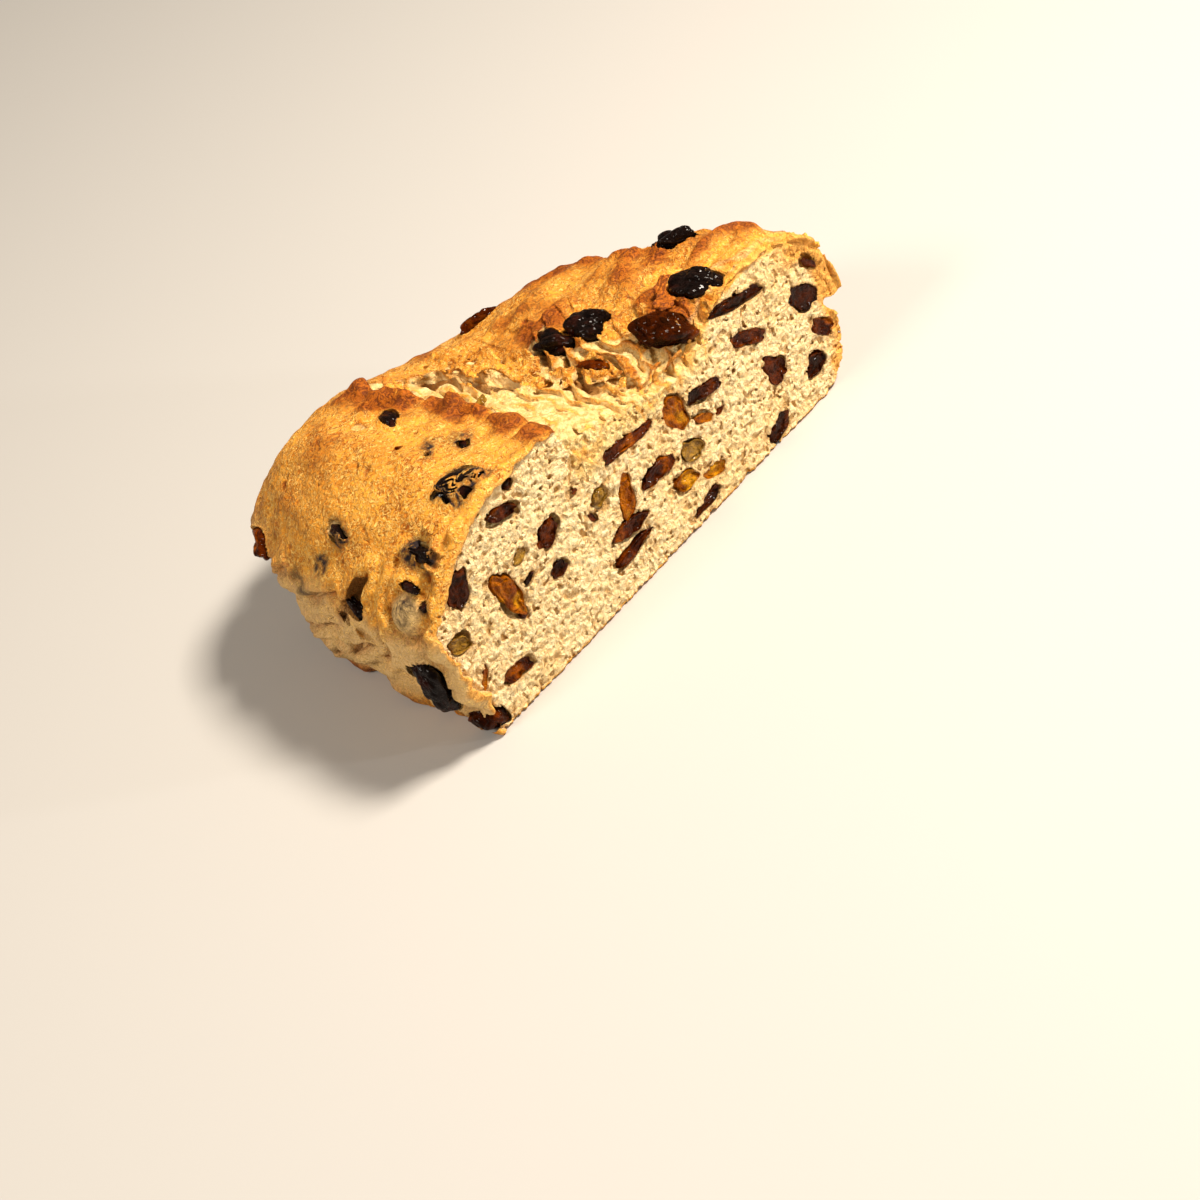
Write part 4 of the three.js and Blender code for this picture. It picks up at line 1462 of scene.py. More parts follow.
@dataclass
class DoughMesher:
    """Turns the dough's field into closed meshes with masks for their finish."""

    dough: Dough
    portions: tuple[Portion, ...] = (
        Portion("loaf_cut_face", (-102, -62.5, -2), (101, -56.0, 80), 0.24, 198_000, (-57.0,)),
        Portion("loaf_crust", (-102, -58.0, -2), (101, -3.0, 80), 0.4, 198_000, (-57.0, -4.0)),
        Portion("loaf_end", (-102, -5.0, -2), (101, 62, 80), 0.42, 198_000, (-4.0,)),
    )
    overlap: float = 1.0         # mm that a portion reaches past its seam
    dip: float = 0.45            # mm that it has sunk by at its end
    threads: int = 4
    planes: int = 24             # grid planes that are worked out at a time
    far: float = 3.0             # mm past which the field's values aren't kept
    quick: float = 2.0
    square: float = 0.9          # part of the normal along Y above which a face is a wall's

    def build(self, finish: "Finish") -> list[bpy.types.Object]:
        """Meshes the portions of the loaf and dresses them.

        Args:
            finish: The finish of the baked dough.

        Returns:
            The objects.
        """
        made = []
        for portion in self.portions:
            obj = self.mesh(portion)
            for name, values in Masks(self.dough, vertices_of(obj.data)).by_name().items():
                layer = obj.data.attributes.new(name, "FLOAT", "POINT")
                layer.data.foreach_set("value", np.ascontiguousarray(values, np.float32))
            obj.data.materials.append(finish.material())
            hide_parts("loaf")
            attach(obj, "root")
            report(obj)
            made.append(obj)
        return made

    def mesh(self, portion: Portion) -> bpy.types.Object:
        """Meshes one portion of the dough and thins the mesh.

        Args:
            portion: The portion.

        Returns:
            The object.
        """
        voxel = portion.voxel * 1.0
        axes = [np.arange(a, b, voxel, dtype=np.float64)
                for a, b in zip(portion.low, portion.high)]
        values = np.empty([len(a) for a in axes], np.float32)

        def fill(start: int) -> None:
            """Works out a few planes of the grid."""
            planes = slice(start, start + self.planes)
            space = self.dough.space((axes[0][planes], *axes[1:]), grid=True)
            values[planes] = self.dough.value(space)

        with ThreadPoolExecutor(self.threads) as pool:
            list(pool.map(fill, range(0, len(axes[0]), self.planes)))
        middle = (portion.low[1] + portion.high[1]) / 2
        for seam in portion.seams:
            past = (axes[1] - seam) * math.copysign(1.0, seam - middle)
            values += (self.dip * smoothstep(0.0, self.overlap, past)).astype(np.float32)[:, None]
        for k in range(3):                      # the box's walls close the mesh
            edge = [slice(None)] * 3
            for end in (0, -1):
                edge[k] = end
                values[tuple(edge)] = np.maximum(values[tuple(edge)], voxel * 0.5)
        grid = openvdb.FloatGrid(background=self.far)
        grid.copyFromArray(np.clip(values, -self.far, self.far))
        points, tris, quads = grid.convertToPolygons(isovalue=0.0, adaptivity=0.0)
        points = points * voxel + np.array([a[0] for a in axes])
        faces = [f[:, ::-1] for f in (tris, quads) if len(f)]
        obj = link(portion.name, new_mesh(portion.name, points, faces))
        count = sum(len(f) * (f.shape[1] - 2) for f in faces)
        if count > portion.faces:
            thin = obj.modifiers.new("thin", "DECIMATE")
            thin.ratio = portion.faces / count
            thin.use_collapse_triangulate = True
            baked(obj)
        self.flatten_walls(obj.data, portion)
        LOG.info("%s: %d triangles thinned from %d", obj.name, len(obj.data.polygons), count)
        return obj

    def flatten_walls(self, mesh: bpy.types.Mesh, portion: Portion) -> None:
        """Shades the walls inside the loaf flat, so that they don't bend the crust's shading.

        Args:
            mesh: The mesh.
            portion: The portion that it is.
        """
        count = len(mesh.polygons)
        middles, normals = np.empty(count * 3), np.empty(count * 3)
        mesh.polygons.foreach_get("center", middles)
        mesh.polygons.foreach_get("normal", normals)
        y = to_loaf(middles.reshape(-1, 3))[:, 1]
        level = np.abs(normals.reshape(-1, 3)[:, 1]) > self.square
        wall = np.zeros(count, bool)
        for plane in (portion.low[1], portion.high[1]):
            wall |= level & (np.abs(y - plane) < 2 * portion.voxel)
        mesh.polygons.foreach_set("use_smooth", ~wall)


# -------------------- loose crumbs
@dataclass
class LooseCrumbs:
    """Crumbs that cling to the cut and torn crumb, scattered by Geometry Nodes."""

    per_square_metre: float = 1.3e5
    radius_mm: float = 0.32
    behind_mm: float = -54.6     # y in the frame past which the wall inside the loaf begins
    seed: int = 5
    lumps_per_metre: float = 2600.0
    lump_metres: float = 0.0009  # how far the noise moves a ball's surface
    smallest: Spot = (0.4, 0.4, 0.3)
    largest: Spot = (1.5, 1.1, 0.9)
    full_turn: float = 6.28      # radians

    INPUTS = {"Geometry": "Geometry", "Density": "Float", "Radius": "Float", "Behind": "Float",
              "Seed": "Int"}

    def tree(self, finish: "Finish") -> bpy.types.NodeTree:
        """Points on the crumb, a lumpy ball on each, made real and given the finish.

        Args:
            finish: The finish of the crumbs.

        Returns:
            The node tree.
        """
        tree = bpy.data.node_groups.new("loose_crumbs", "GeometryNodeTree")
        for name, kind in self.INPUTS.items():
            tree.interface.new_socket(name, in_out="INPUT", socket_type=f"NodeSocket{kind}")
        tree.interface.new_socket("Geometry", in_out="OUTPUT", socket_type="NodeSocketGeometry")
        start = add_node(tree, "NodeGroupInput")
        points = add_node(tree, "GeometryNodeDistributePointsOnFaces", {
            "Mesh": start.outputs["Geometry"], "Density": self.density(tree, start),
            "Seed": start.outputs["Seed"]})
        turn = add_node(tree, "FunctionNodeRandomValue", {"Max": (self.full_turn,) * 3},
                        data_type="FLOAT_VECTOR").outputs["Value"]
        size = add_node(tree, "FunctionNodeRandomValue",
                        {"Min": self.smallest, "Max": self.largest},
                        data_type="FLOAT_VECTOR").outputs["Value"]
        crumbs = add_node(tree, "GeometryNodeInstanceOnPoints", {
            "Points": points.outputs["Points"], "Instance": self.ball(tree, start),
            "Rotation": turn, "Scale": size})
        real = add_node(tree, "GeometryNodeRealizeInstances",
                        {"Geometry": crumbs.outputs["Instances"]})
        done = add_node(tree, "GeometryNodeSetMaterial", {
            "Geometry": real.outputs["Geometry"], "Material": finish.material()})
        add_node(tree, "NodeGroupOutput", {"Geometry": done.outputs["Geometry"]})
        return tree

    @staticmethod
    def density(tree: bpy.types.NodeTree,
                start: bpy.types.Node) -> bpy.types.NodeSocket:
        """How many crumbs a square metre gets: none on crust or on the wall inside the loaf.

        Args:
            tree: The tree that gets the nodes.
            start: The node of the tree's inputs.

        Returns:
            The density.
        """
        mask = add_node(tree, "GeometryNodeInputNamedAttribute", {"Name": "crumb"},
                        data_type="FLOAT").outputs["Attribute"]
        place = add_node(tree, "GeometryNodeInputPosition").outputs["Position"]
        y = add_node(tree, "ShaderNodeSeparateXYZ", {"Vector": place}).outputs["Y"]
        in_front = add_node(tree, "ShaderNodeMath", {0: y, 1: start.outputs["Behind"]},
                            operation="LESS_THAN").outputs["Value"]
        wanted = add_node(tree, "ShaderNodeMath", {0: mask, 1: in_front},
                          operation="MULTIPLY").outputs["Value"]
        return add_node(tree, "ShaderNodeMath", {0: wanted, 1: start.outputs["Density"]},
                        operation="MULTIPLY").outputs["Value"]

    def ball(self, tree: bpy.types.NodeTree,
             start: bpy.types.Node) -> bpy.types.NodeSocket:
        """The lumpy ball that every crumb is a copy of.

        Args:
            tree: The tree that gets the nodes.
            start: The node of the tree's inputs.

        Returns:
            The ball's geometry.
        """
        ball = add_node(tree, "GeometryNodeMeshIcoSphere",
                        {"Radius": start.outputs["Radius"], "Subdivisions": 1})
        lumps = add_node(tree, "ShaderNodeTexNoise", {"Scale": self.lumps_per_metre, "Detail": 1.0})
        shift = add_node(tree, "ShaderNodeVectorMath", {0: lumps.outputs["Color"], 1: (0.5,) * 3},
                         operation="SUBTRACT").outputs["Vector"]
        shift = add_node(tree, "ShaderNodeVectorMath", {0: shift, "Scale": self.lump_metres},
                         operation="SCALE").outputs["Vector"]
        ball = add_node(tree, "GeometryNodeSetPosition",
                        {"Geometry": ball.outputs["Mesh"], "Offset": shift})
        return ball.outputs["Geometry"]

    def build(self, hosts: list[bpy.types.Object], finish: "Finish") -> bpy.types.Object:
        """Scatters the crumbs over the cut face.

        Args:
            hosts: The portions of the loaf, the cut face first.
            finish: The finish of the crumbs.

        Returns:
            The crumbs as one object.
        """
        obj = link("loose_crumbs", hosts[0].data.copy())
        scatter = obj.modifiers.new("scatter", "NODES")
        scatter.node_group = self.tree(finish)
        values = {"Density": self.per_square_metre, "Radius": self.radius_mm * MM,
                  "Behind": self.behind_mm * MM, "Seed": self.seed}
        for item in scatter.node_group.interface.items_tree:
            if item.in_out == "INPUT" and item.name in values:
                scatter[item.identifier] = values[item.name]
        baked(obj)
        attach(obj, "root")
        report(obj)
        return obj


# -------------------- dried fruit
@dataclass
class DriedFruit:
    """The raisins, sultanas and pieces of peel, each a wrinkled body of its own."""

    dough: Dough
    fineness: int = 5            # subdivisions of the ball that each one starts from
    bit_fineness: int = 4
    crease_width: float = 0.24   # of the noise's values, about its zero line
    crease_depth: float = 1.1    # mm
    small_creases: float = 0.5   # mm
    uneven: float = 0.12         # mm
    full_depth_at: float = 3.5   # mm of the thin half size: a thinner fruit has shallower creases
    veiled_share: float = 0.4    # of the creases' depth under a skin of crust
    looks: dict[FruitKind, "Finish"] = field(default_factory=dict)

    SLOTS = {FruitKind.BLACK: "raisin", FruitKind.FLESH: "raisin", FruitKind.BROWN: "raisin",
             FruitKind.SULTANA: "sultana", FruitKind.PEEL: "peel"}
    WRINKLED = {FruitKind.BLACK: 1.0, FruitKind.FLESH: 1.0, FruitKind.BROWN: 0.75,
                FruitKind.SULTANA: 0.4, FruitKind.PEEL: 0.25}

    def build(self) -> list[bpy.types.Object]:
        """Makes every fruit and puts it in place of its node.

        Returns:
            The objects.
        """
        fine, coarse = self.ball(self.fineness), self.ball(self.bit_fineness)
        made = []
        for fruit in self.dough.fruit:
            directions, faces = fine if fruit.in_frame else coarse
            name = f"{fruit.name}_skin"
            obj = link(name, new_mesh(name, self.body(fruit, directions), [faces]))
            sliced = fruit.place is FruitPlace.CUT and fruit.kind is FruitKind.BLACK
            look = FruitKind.FLESH if sliced else fruit.kind
            obj.data.materials.append(self.looks[look].material())
            if fruit.in_frame:
                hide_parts(fruit.name)
            self.SLOTS[fruit.kind]
            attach(obj, "root")
            report(obj)
            made.append(obj)
        return made

    @staticmethod
    def ball(subdivisions: int) -> tuple[np.ndarray, np.ndarray]:
        """Points and triangles of a unit ball.

        Args:
            subdivisions: How often the triangles are divided.

        Returns:
            Rows of x, y, z and rows of three vertex numbers.
        """
        shape = bmesh.new()
        bmesh.ops.create_icosphere(shape, subdivisions=subdivisions, radius=1.0)
        points = np.array([v.co[:] for v in shape.verts])
        faces = np.array([[v.index for v in f.verts] for f in shape.faces])
        shape.free()
        return points, faces

    def body(self, fruit: FruitForm, ball: np.ndarray) -> np.ndarray:
        """The ball's points moved to the fruit's wrinkled surface.

        Args:
            fruit: The fruit's form.
            ball: Points of a unit ball.

        Returns:
            Rows of x, y, z in loaf mm.
        """
        radius = fruit.lumps(*ball.T)
        half, turn = np.array(fruit.half), np.array(fruit.turn)
        points = (ball * radius[:, None] * half) @ turn.T + np.array(fruit.centre)
        slope = (ball / half) @ turn.T
        outward = slope / np.linalg.norm(slope, axis=1)[:, None]
        # a place of its own in the noise, in which the creases run along the fruit
        spread = ball * half * (0.45, 1.0, 1.0) + 40.0 * np.sin(fruit.seed * np.arange(1, 4))
        s = self.dough.space((spread * (1.0, 1.0, 0.5) + (0, 0, 35.0)).T)
        crease, small = (np.exp(-((s[name] / self.crease_width) ** 2))
                         for name in ("crease", "wrinkle"))
        amount = self.WRINKLED[fruit.kind] * min(1.0, min(half) / self.full_depth_at)
        amount *= self.veiled_share if fruit.place is FruitPlace.VEILED else 1.0
        inward = amount * (self.crease_depth * crease + self.small_creases * small)
        inward -= self.uneven * s["wrinkle"]
        points = points - outward * inward[:, None]
        if fruit.place is FruitPlace.CUT:
            points[:, 1] = self.sliced(fruit, points, crease)
        points[:, 2] = np.maximum(points[:, 2], 0.1)
        return points

    def sliced(self, fruit: FruitForm, points: np.ndarray, crease: np.ndarray) -> np.ndarray:
        """y of the points after the knife has passed: the flesh is flat, a little proud.

        Args:
            fruit: The fruit's form.
            points: Rows of x, y, z in loaf mm.
            crease: 1 in a crease of the skin, for each point.

        Returns:
            The new y for each point.
        """
        proud = 0.25 * math.sin(2.3 * fruit.seed) + 0.05
        plane = self.dough.form.cut_y - proud
        beyond = np.maximum(plane - points[:, 1], 0)
        s = self.dough.space(points.T)
        flesh = 0.35 * s["wrinkle"] + 0.5 * s["crease"]
        dished = smoothstep(0.1, 1.6, beyond)
        flat = plane - 0.02 * beyond + dished * (0.3 + flesh) + 0.45 * crease * dished
        return np.where(beyond > 0, flat, points[:, 1])


# -------------------- finishes
def linear(code: str) -> tuple[float, float, float, float]:
    """A colour given as sRGB hex, as linear values."""
    parts = [int(code[i:i + 2], 16) / 255 for i in (1, 3, 5)]
    return (*(p / 12.92 if p <= 0.04045 else ((p + 0.055) / 1.055) ** 2.4 for p in parts), 1.0)


def add_node(tree: bpy.types.NodeTree, kind: str, inputs: dict | None = None,
             **settings: object) -> bpy.types.Node:
    """Adds a node with its settings and links.

    Args:
        tree: The tree that gets the node.
        kind: The node's type.
        inputs: Values, or sockets to link, by the name or number of an input in use.
        **settings: Properties of the node.

    Returns:
        The node.
    """
    node = tree.nodes.new(kind)
    for name, value in settings.items():
        setattr(node, name, value)
    for key, value in (inputs or {}).items():
        socket = node.inputs[key] if isinstance(key, int) else next(
            i for i in node.inputs if i.name == key and i.enabled)
        if isinstance(value, bpy.types.NodeSocket):
            tree.links.new(value, socket)
        else:
            socket.default_value = value
    return node


class Shades:
    """The nodes that the finishes are mixed from, in one material's tree."""

    def __init__(self, tree: bpy.types.NodeTree) -> None:
        """Keeps the tree and the coordinates, in metres, that stay with the piece.

        Args:
            tree: The material's tree.
        """
        self.tree = tree
        self.at = add_node(tree, "ShaderNodeTexCoord").outputs["Object"]

    def mask(self, name: str) -> bpy.types.NodeSocket:
        """A mask that is kept at the vertices."""
        return add_node(self.tree, "ShaderNodeAttribute", attribute_name=name).outputs["Fac"]

    def noise(self, size_mm: float, detail: float = 3.0,
              distortion: float = 0.0) -> bpy.types.NodeSocket:
        """Noise whose blobs are about size_mm across, from 0 to 1.

        Args:
            size_mm: Size of its blobs.
            detail: Finer noises laid over it.
            distortion: How far it is curled.

        Returns:
            The noise.
        """
        inputs = {"Vector": self.at, "Scale": 0.6 / (size_mm * MM), "Detail": detail,
                  "Roughness": 0.55, "Distortion": distortion}
        return add_node(self.tree, "ShaderNodeTexNoise", inputs).outputs["Fac"]

    def join(self, a: object, b: object, how: str = "MULTIPLY") -> bpy.types.NodeSocket:
        """Two values joined by an operation, clamped to 0 to 1."""
        node = add_node(self.tree, "ShaderNodeMath", {0: a, 1: b}, operation=how, use_clamp=True)
        return node.outputs["Value"]

    def ramp(self, value: bpy.types.NodeSocket, low: float, high: float,
             share: float = 1.0) -> bpy.types.NodeSocket:
        """The value stretched so that low gives 0 and high gives 1, or a share of 1.

        Args:
            value: The value.
            low: What gives 0.
            high: What gives the share.
            share: The largest value wanted.

        Returns:
            The stretched value.
        """
        inputs = {"Value": value, "From Min": low, "From Max": high}
        node = add_node(self.tree, "ShaderNodeMapRange", inputs, interpolation_type="SMOOTHSTEP")
        stretched = node.outputs["Result"]
        return stretched if share == 1.0 else self.join(stretched, share)

    def mix(self, factor: object, a: object, b: object) -> bpy.types.NodeSocket:
        """Colour a where the factor is 0, b where it is 1; hex codes or sockets.

        Args:
            factor: A value or a socket.
            a: A hex code or a socket.
            b: Another.

        Returns:
            The colour.
        """
        a, b = (linear(c) if isinstance(c, str) else c for c in (a, b))
        inputs = {"Factor": factor, "A": a, "B": b}
        node = add_node(self.tree, "ShaderNodeMix", inputs, data_type="RGBA")
        return next(o for o in node.outputs if o.enabled)

    def surface(self, colour: bpy.types.NodeSocket, height: bpy.types.NodeSocket,
                relief_mm: float, uneven: bpy.types.NodeSocket, rough: tuple[float, float],
                more: dict) -> bpy.types.NodeSocket:
        """A shader with relief and uneven roughness.

        Args:
            colour: Its colour.
            height: Its relief, from 0 to 1.
            relief_mm: What a height of 1 is in mm.
            uneven: Pattern of the roughness, from 0 to 1.
            rough: Roughness at 0 and at 1 of that pattern.
            more: Further inputs of the shader.

        Returns:
            The shader.
        """
        bump = add_node(self.tree, "ShaderNodeBump",
                        {"Strength": 1.0, "Distance": relief_mm * MM, "Height": height})
        low, high = rough
        roughness = add_node(self.tree, "ShaderNodeMapRange",
                             {"Value": uneven, "To Min": low, "To Max": high})
        return add_node(self.tree, "ShaderNodeBsdfPrincipled", {
            "Base Color": colour, "Roughness": roughness.outputs["Result"],
            "Normal": bump.outputs["Normal"], **more,
        }).outputs["BSDF"]


@dataclass
class Finish:
    """Base of the finishes: builds its material once and hands it out."""

    name: str = ""
    _made: bpy.types.Material | None = None

    def material(self) -> bpy.types.Material:
        """The material, made on first use.

        Returns:
            The material.
        """
        if self._made is None:
            self._made = bpy.data.materials.new(self.name)
            self._made.use_nodes = True
            tree = self._made.node_tree
            tree.nodes.clear()
            shader = self.shade(Shades(tree))
            add_node(tree, "ShaderNodeOutputMaterial", {"Surface": shader})
        return self._made

    def shade(self, n: Shades) -> bpy.types.NodeSocket:
        """Builds the shader; each finish has its own."""
        raise NotImplementedError


@dataclass
class BakedDough(Finish):
    """Wheat dough with butter, baked: matt golden crust, and pale, dry, open crumb inside."""

    name: str = "baked_dough"
    crust_light: str = "#fbb440"
    crust_mid: str = "#e3902a"
    # painted highlight: the sheen of curled lines on the crust
    crust_dark: str = "#a3560c"
    painted_sheen: str = "#ffcd6e"
    browned: str = "#b05c0a"
    scorched: str = "#703206"
    flank: str = "#e8c78a"
    crumb_light: str = "#fde6b2"
    crumb_mid: str = "#edc88c"
    # painted shade in the pores of the cut crumb
    pore_shade: str = "#c4914a"
    buttery: str = "#f0c377"
    torn_light: str = "#f8dc9a"
    torn_deep: str = "#e4b466"
    golden: str = "#f4ae44"
    toasted: str = "#d99030"
    # juice stain beside the fruit, and painted shade in the cavities
    stain_and_cavity_shade: str = "#b07a3a"
    bruised: str = "#2c2122"

    PATTERNS = {                 # size in mm, detail and distortion
        "broad": (14.0, 3.0, 0.0), "mottle": (2.4, 4.0, 1.2), "whorl": (1.5, 1.0, 1.8),
        "fine": (0.5, 2.0, 0.8), "curl": (1.3, 1.0, 1.6), "speck": (2.0, 1.0, 0.0),
    }

    def shade(self, n: Shades) -> bpy.types.NodeSocket:
        """Crust and crumb by the dough's masks, with mottling, pits and fine relief.

        Args:
            n: Adds the nodes.

        Returns:
            The shader.
        """
        p = {name: n.noise(*how) for name, how in self.PATTERNS.items()}
        off = n.join(p["curl"], 0.5, "SUBTRACT")
        under = n.join(0.5, p["curl"], "SUBTRACT")
        p["lines"] = n.ramp(n.join(off, under, "ADD"), 0.06, 0.015)
        colour = n.mix(n.mask("crumb"), self.crust(n, p), self.crumb(n, p))
        coarse = n.join(n.join(p["mottle"], 0.45), n.join(p["whorl"], 0.45), "ADD")
        small = n.join(n.join(p["fine"], 0.18), n.join(p["lines"], 0.2), "ADD")
        height = n.join(coarse, small, "ADD")
        return n.surface(colour, height, 1.5, p["mottle"], (0.55, 0.85),
                         {"IOR": 1.45, "Specular IOR Level": 0.25})

    def crust(self, n: Shades, p: dict[str, bpy.types.NodeSocket]) -> bpy.types.NodeSocket:
        """The crust: golden, mottled finer than a grain of rice, browner on the ridges.

        Fine curled lines of a lighter gold are painted sheen, fading where the crust is browned.

        Args:
            n: Adds the nodes.
            p: The patterns by name.

        Returns:
            The colour.
        """
        mottle, whorl, broad = p["mottle"], p["whorl"], p["broad"]
        brown, pale = n.mask("brown"), n.mask("pale")
        crust = n.mix(n.ramp(mottle, 0.36, 0.6), self.crust_dark, self.crust_mid)
        crust = n.mix(n.ramp(broad, 0.35, 0.65, 0.45), crust, self.crust_light)
        crust = n.mix(n.ramp(whorl, 0.46, 0.62, 0.75), crust, self.crust_light)
        crust = n.mix(n.join(pale, 0.75), crust, self.flank)
        roasted = n.mix(n.ramp(whorl, 0.55, 0.4), self.browned, self.scorched)
        # browning, and painted shade in the left flank's creases
        crust = n.mix(n.join(brown, n.ramp(mottle, 0.1, 0.45)), crust, roasted)
        deep = n.join(n.ramp(brown, 0.5, 1.0), n.ramp(broad, 0.4, 0.75))
        crust = n.mix(n.join(deep, 0.45), crust, self.scorched)
        crust = n.mix(n.ramp(whorl, 0.42, 0.3, 0.5), crust, self.crust_dark)
        # painted highlight: lighter curled lines of sheen, fewer where the crust is browned
        sheen_lines = n.join(p["lines"], n.ramp(brown, 0.9, 0.1))
        crust = n.mix(n.join(sheen_lines, 0.8), crust, self.painted_sheen)
        crust = n.mix(n.join(pale, 0.4), crust, self.flank)
        crust = n.mix(n.ramp(p["speck"], 0.72, 0.78, 0.6), crust, self.scorched)
        bruise = n.join(n.mask("bruise"), n.ramp(mottle, 0.25, 0.6))
        return n.mix(bruise, crust, self.bruised)

    def crumb(self, n: Shades, p: dict[str, bpy.types.NodeSocket]) -> bpy.types.NodeSocket:
        """The crumb: pale threads over pores with painted shade, yellower where it is torn.

        Args:
            n: Adds the nodes.
            p: The patterns by name.

        Returns:
            The colour.
        """
        mottle, whorl, broad = p["mottle"], p["whorl"], p["broad"]
        crumb = n.mix(n.ramp(whorl, 0.35, 0.65), self.crumb_mid, self.crumb_light)
        crumb = n.mix(n.ramp(broad, 0.45, 0.7, 0.4), crumb, self.buttery)
        # painted shade in the pores
        crumb = n.mix(n.mask("pore"), crumb, self.pore_shade)
        torn = n.mix(n.ramp(mottle, 0.35, 0.65), self.torn_deep, self.torn_light)
        crumb = n.mix(n.mask("torn"), crumb, torn)
        toasted = n.mix(n.ramp(whorl, 0.4, 0.6), self.toasted, self.golden)
        crumb = n.mix(n.join(n.mask("gold"), 0.9), crumb, toasted)
        # juice stain beside the fruit, and painted shade in the cavities
        return n.mix(n.join(n.mask("juice_stain_and_cavity_shade"), 0.7), crumb, self.stain_and_cavity_shade)


@dataclass
class FruitSkin(Finish):
    """Dried grape or candied peel: a dark, sticky skin that shines on the folds."""

    dark: str = "#090403"
    light: str = "#150a07"
    glow: str = "#30120a"
    roughness: float = 0.3
    coat: float = 0.2
    shine: float = 0.12
    tint: str = "#8a6a60"        # of the light that the skin throws back
    dust: str = "#8a7a72"        # sugar and dust in the folds
    bloom: float = 0.02          # how much of it there is

    def shade(self, n: Shades) -> bpy.types.NodeSocket:
        """Mottled skin with fine creases and a thin sticky coat.

        Args:
            n: Adds the nodes.

        Returns:
            The shader.
        """
        mottle, fine = n.noise(3.0, 3.0, 0.6), n.noise(0.6, 3.0, 1.5)
        colour = n.mix(n.ramp(mottle, 0.35, 0.65), self.dark, self.light)
        colour = n.mix(n.ramp(n.noise(4.5, 2.0), 0.52, 0.72), colour, self.glow)
        colour = n.mix(n.ramp(fine, 0.58, 0.75, self.bloom), colour, self.dust)
        height = n.join(n.join(n.noise(1.3, 2.0, 1.0), 0.7), n.join(fine, 0.3), "ADD")
        rough = (self.roughness - 0.1, self.roughness + 0.2)
        return n.surface(colour, height, 2.2, fine, rough, {
            "IOR": 1.47, "Specular IOR Level": self.shine, "Specular Tint": linear(self.tint),
            "Coat Weight": self.coat, "Coat Roughness": 0.05,
        })


def fruit_looks() -> dict[FruitKind, Finish]:
    """The finish of each kind of fruit, the lighter ones tinted so that no white glare shows.

    Returns:
        The finishes by kind.
    """
    wet = {"coat": 0.16, "shine": 0.05}
    return {
        FruitKind.BLACK: FruitSkin(name="raisin_skin"),
        FruitKind.FLESH: FruitSkin(
            name="raisin_flesh", dark="#1e0800", light="#3e1400", glow="#682a02",
            tint="#a84c18", roughness=0.26, bloom=0.01, **wet),
        FruitKind.BROWN: FruitSkin(
            name="raisin_skin_red_brown", dark="#300c00", light="#5c2200", glow="#984a02",
            tint="#b45a18", roughness=0.26, bloom=0.01, **wet),
        FruitKind.SULTANA: FruitSkin(
            name="sultana_skin", dark="#763400", light="#a85c00", glow="#da9818",
            tint="#d08020", roughness=0.22, **wet),
        FruitKind.PEEL: FruitSkin(
            name="candied_peel", dark="#765012", light="#a07628", glow="#c09440",
            roughness=0.35, coat=0.3, bloom=0.08),
    }


# -------------------- studio
@dataclass(frozen=True)
class Lamp:
    """A square area light that looks at the loaf."""

    name: str
    towards: Spot                # direction from the loaf
    metres: float                # distance from the loaf
    size: float                  # side of the light in metres
    watts: float
    colour: str
    by_camera: bool = True       # whether the direction is right, up and back of the camera


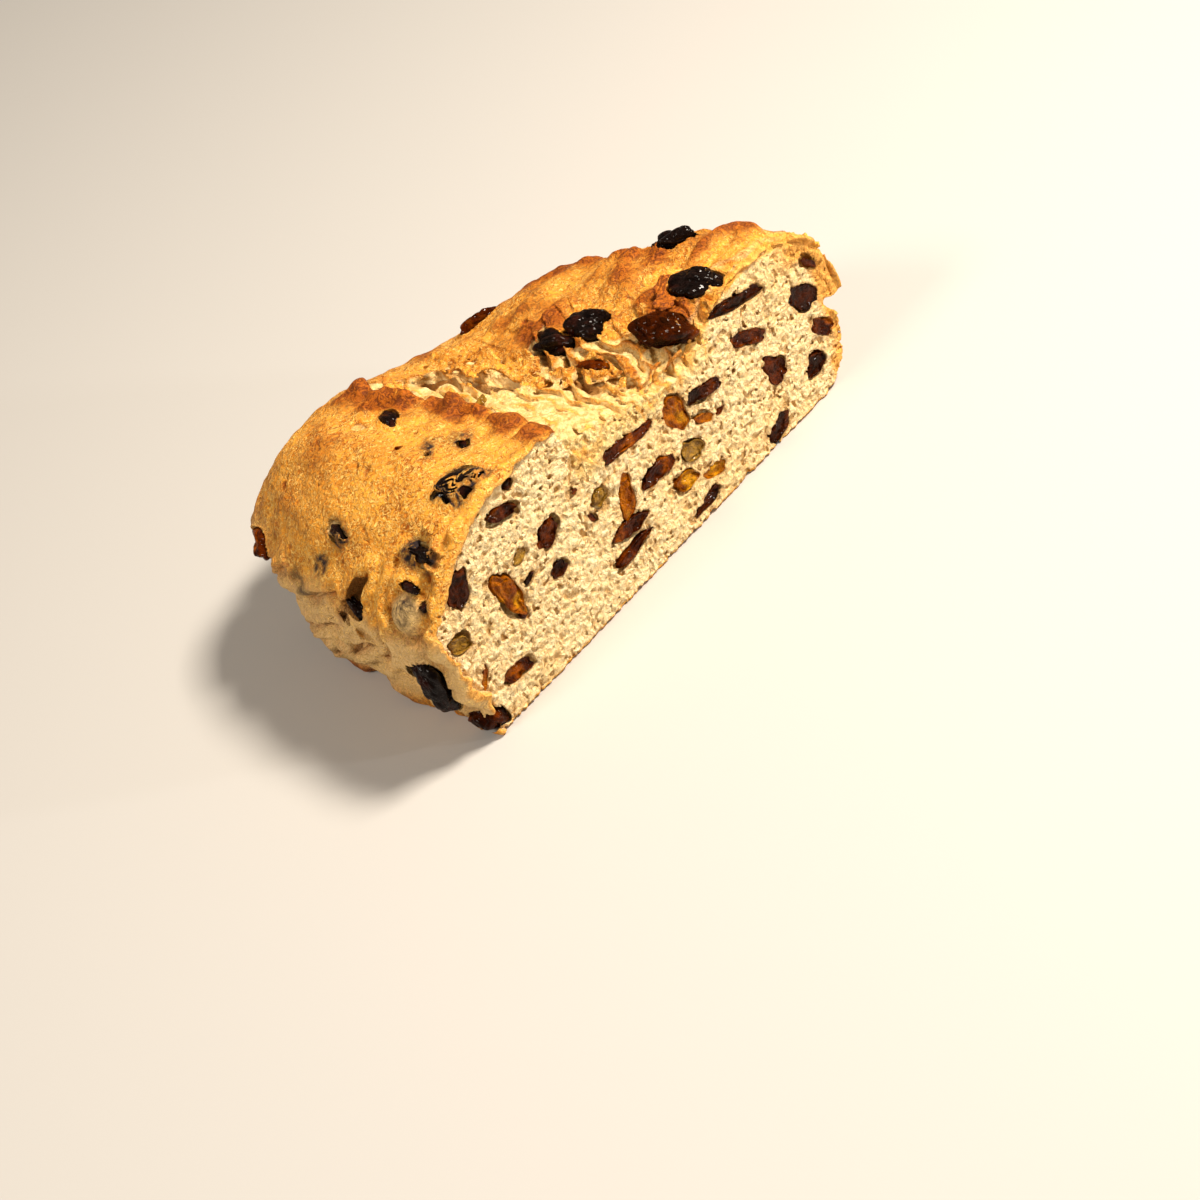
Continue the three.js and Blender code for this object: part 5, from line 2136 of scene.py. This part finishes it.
@dataclass
class Studio:
    """Pale floor, soft lights and the camera, in mm of the frame."""

    target: Spot = (-0.4, -12.1, 32.2)
    azimuth: float = 34.0
    elevation: float = 38.2
    roll: float = 23.5
    distance: float = 878.6
    aside: tuple[float, float] = (18.1, -51.0)
    lens: float = 85.0
    sensor: float = 36.0
    board: str = "#c2bfbb"
    board_half: float = 4.0      # metres
    board_roughness: float = 0.7
    board_top: float = -0.0002   # metres, just under the foot
    sky: str = "#f4e8d8"
    sky_strength: float = 0.2

    LAMPS = (                    # a soft key from above, a fill on the flank, a catch light
        Lamp("key_light", (0.28, 0.78, 0.56), 1.1, 0.24, 22.0, "#fff4e4"),
        Lamp("fill_light", (-0.75, 0.05, 0.8), 1.4, 0.3, 8.5, "#fff4e6"),
        Lamp("catch_light", (0.45, -0.9, 0.14), 1.0, 0.05, 3.0, "#ffffff", by_camera=False),
    )

    def axes(self) -> tuple[Vector, Vector, Vector]:
        """The camera's directions.

        Returns:
            Right, up and back.
        """
        a, e, r = (math.radians(v) for v in (self.azimuth, self.elevation, self.roll))
        back = Vector((-math.sin(a) * math.cos(e), -math.cos(a) * math.cos(e), math.sin(e)))
        level = (-back).cross(Vector((0, 0, 1))).normalized()
        above = level.cross(-back)
        right = level * math.cos(r) - above * math.sin(r)
        up = level * math.sin(r) + above * math.cos(r)
        return right, up, back

    def build(self) -> None:
        """Makes the camera, the floor and the lights."""
        self.camera()
        self.floor()
        for lamp in self.LAMPS:
            self.light(lamp)
        self.world()
        bpy.context.scene.view_settings.view_transform = "Standard"

    def camera(self) -> None:
        """A long lens that looks down on the cut face from its left."""
        right, up, back = self.axes()
        place = Vector(self.target) + back * self.distance + right * self.aside[0]
        place += up * self.aside[1]
        data = bpy.data.cameras.new("camera")
        data.lens, data.sensor_width = self.lens, self.sensor
        data.clip_start, data.clip_end = 0.01, 20.0
        camera = bpy.data.objects.new("camera", data)
        matrix = Matrix((right, up, back)).transposed().to_4x4()
        matrix.translation = place * MM
        camera.matrix_world = matrix
        bpy.context.scene.collection.objects.link(camera)
        bpy.context.scene.camera = camera

    def floor(self) -> None:
        """A large pale board."""
        shape = bmesh.new()
        bmesh.ops.create_grid(shape, x_segments=1, y_segments=1, size=self.board_half)
        mesh = bpy.data.meshes.new("floor")
        shape.to_mesh(mesh)
        shape.free()
        floor = link("floor", mesh)
        floor.location.z = self.board_top
        material = bpy.data.materials.new("pale_board")
        material.use_nodes = True
        shader = material.node_tree.nodes["Principled BSDF"]
        shader.inputs["Base Color"].default_value = linear(self.board)
        shader.inputs["Roughness"].default_value = self.board_roughness
        mesh.materials.append(material)

    def world(self) -> None:
        """A dim warm sky that fills the shadows."""
        world = bpy.data.worlds.new("studio")
        world.use_nodes = True
        shade = world.node_tree.nodes["Background"]
        shade.inputs["Color"].default_value = linear(self.sky)
        shade.inputs["Strength"].default_value = self.sky_strength
        bpy.context.scene.world = world

    def light(self, lamp: Lamp) -> None:
        """Hangs up a lamp, out of the camera's sight.

        Args:
            lamp: The lamp.
        """
        data = bpy.data.lights.new(lamp.name, "AREA")
        data.size, data.energy = lamp.size, lamp.watts
        data.color = linear(lamp.colour)[:3]
        obj = bpy.data.objects.new(lamp.name, data)
        obj.visible_camera = False
        towards = Vector(lamp.towards)
        if lamp.by_camera:
            towards = Matrix(self.axes()).transposed() @ towards
        towards.normalize()
        obj.location = Vector(self.target) * MM + towards * lamp.metres
        obj.rotation_euler = towards.to_track_quat("Z", "Y").to_euler()
        bpy.context.scene.collection.objects.link(obj)


# -------------------- all of it
def all_fruit(form: LoafForm) -> list[FruitForm]:
    """The fruit of the frame's nodes, and the smaller bits.

    Args:
        form: The loaf's sizes.

    Returns:
        The forms of the fruit.
    """
    nodes = sorted(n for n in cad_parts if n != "loaf")
    fruit = [FruitForm.from_node(n, i + 1, form.cut_y) for i, n in enumerate(nodes)]
    for i, (name, kind, place, centre, half, turn) in enumerate(BITS):
        fruit.append(FruitForm.bit(name, FIRST_BIT_SEED + i, kind, place, centre, half, turn))
    return fruit


def main() -> None:
    """Builds the stollen and its studio."""
    logging.basicConfig(level=logging.INFO, format="%(relativeCreated)7d ms  %(message)s")
    form = LoafForm()
    dough = Dough(form, all_fruit(form))
    LOG.info("%d pieces of fruit", len(dough.fruit))
    finish = BakedDough()
    loaf = DoughMesher(dough).build(finish)
    crumbs = LooseCrumbs().build(loaf, finish)
    fruit = DriedFruit(dough, looks=fruit_looks()).build()
    pieces = (*loaf, crumbs, *fruit)
    LOG.info("%d pieces, %d faces", len(pieces), sum(len(p.data.polygons) for p in pieces))
    Studio().build()


if __name__ == "__main__":
    main()
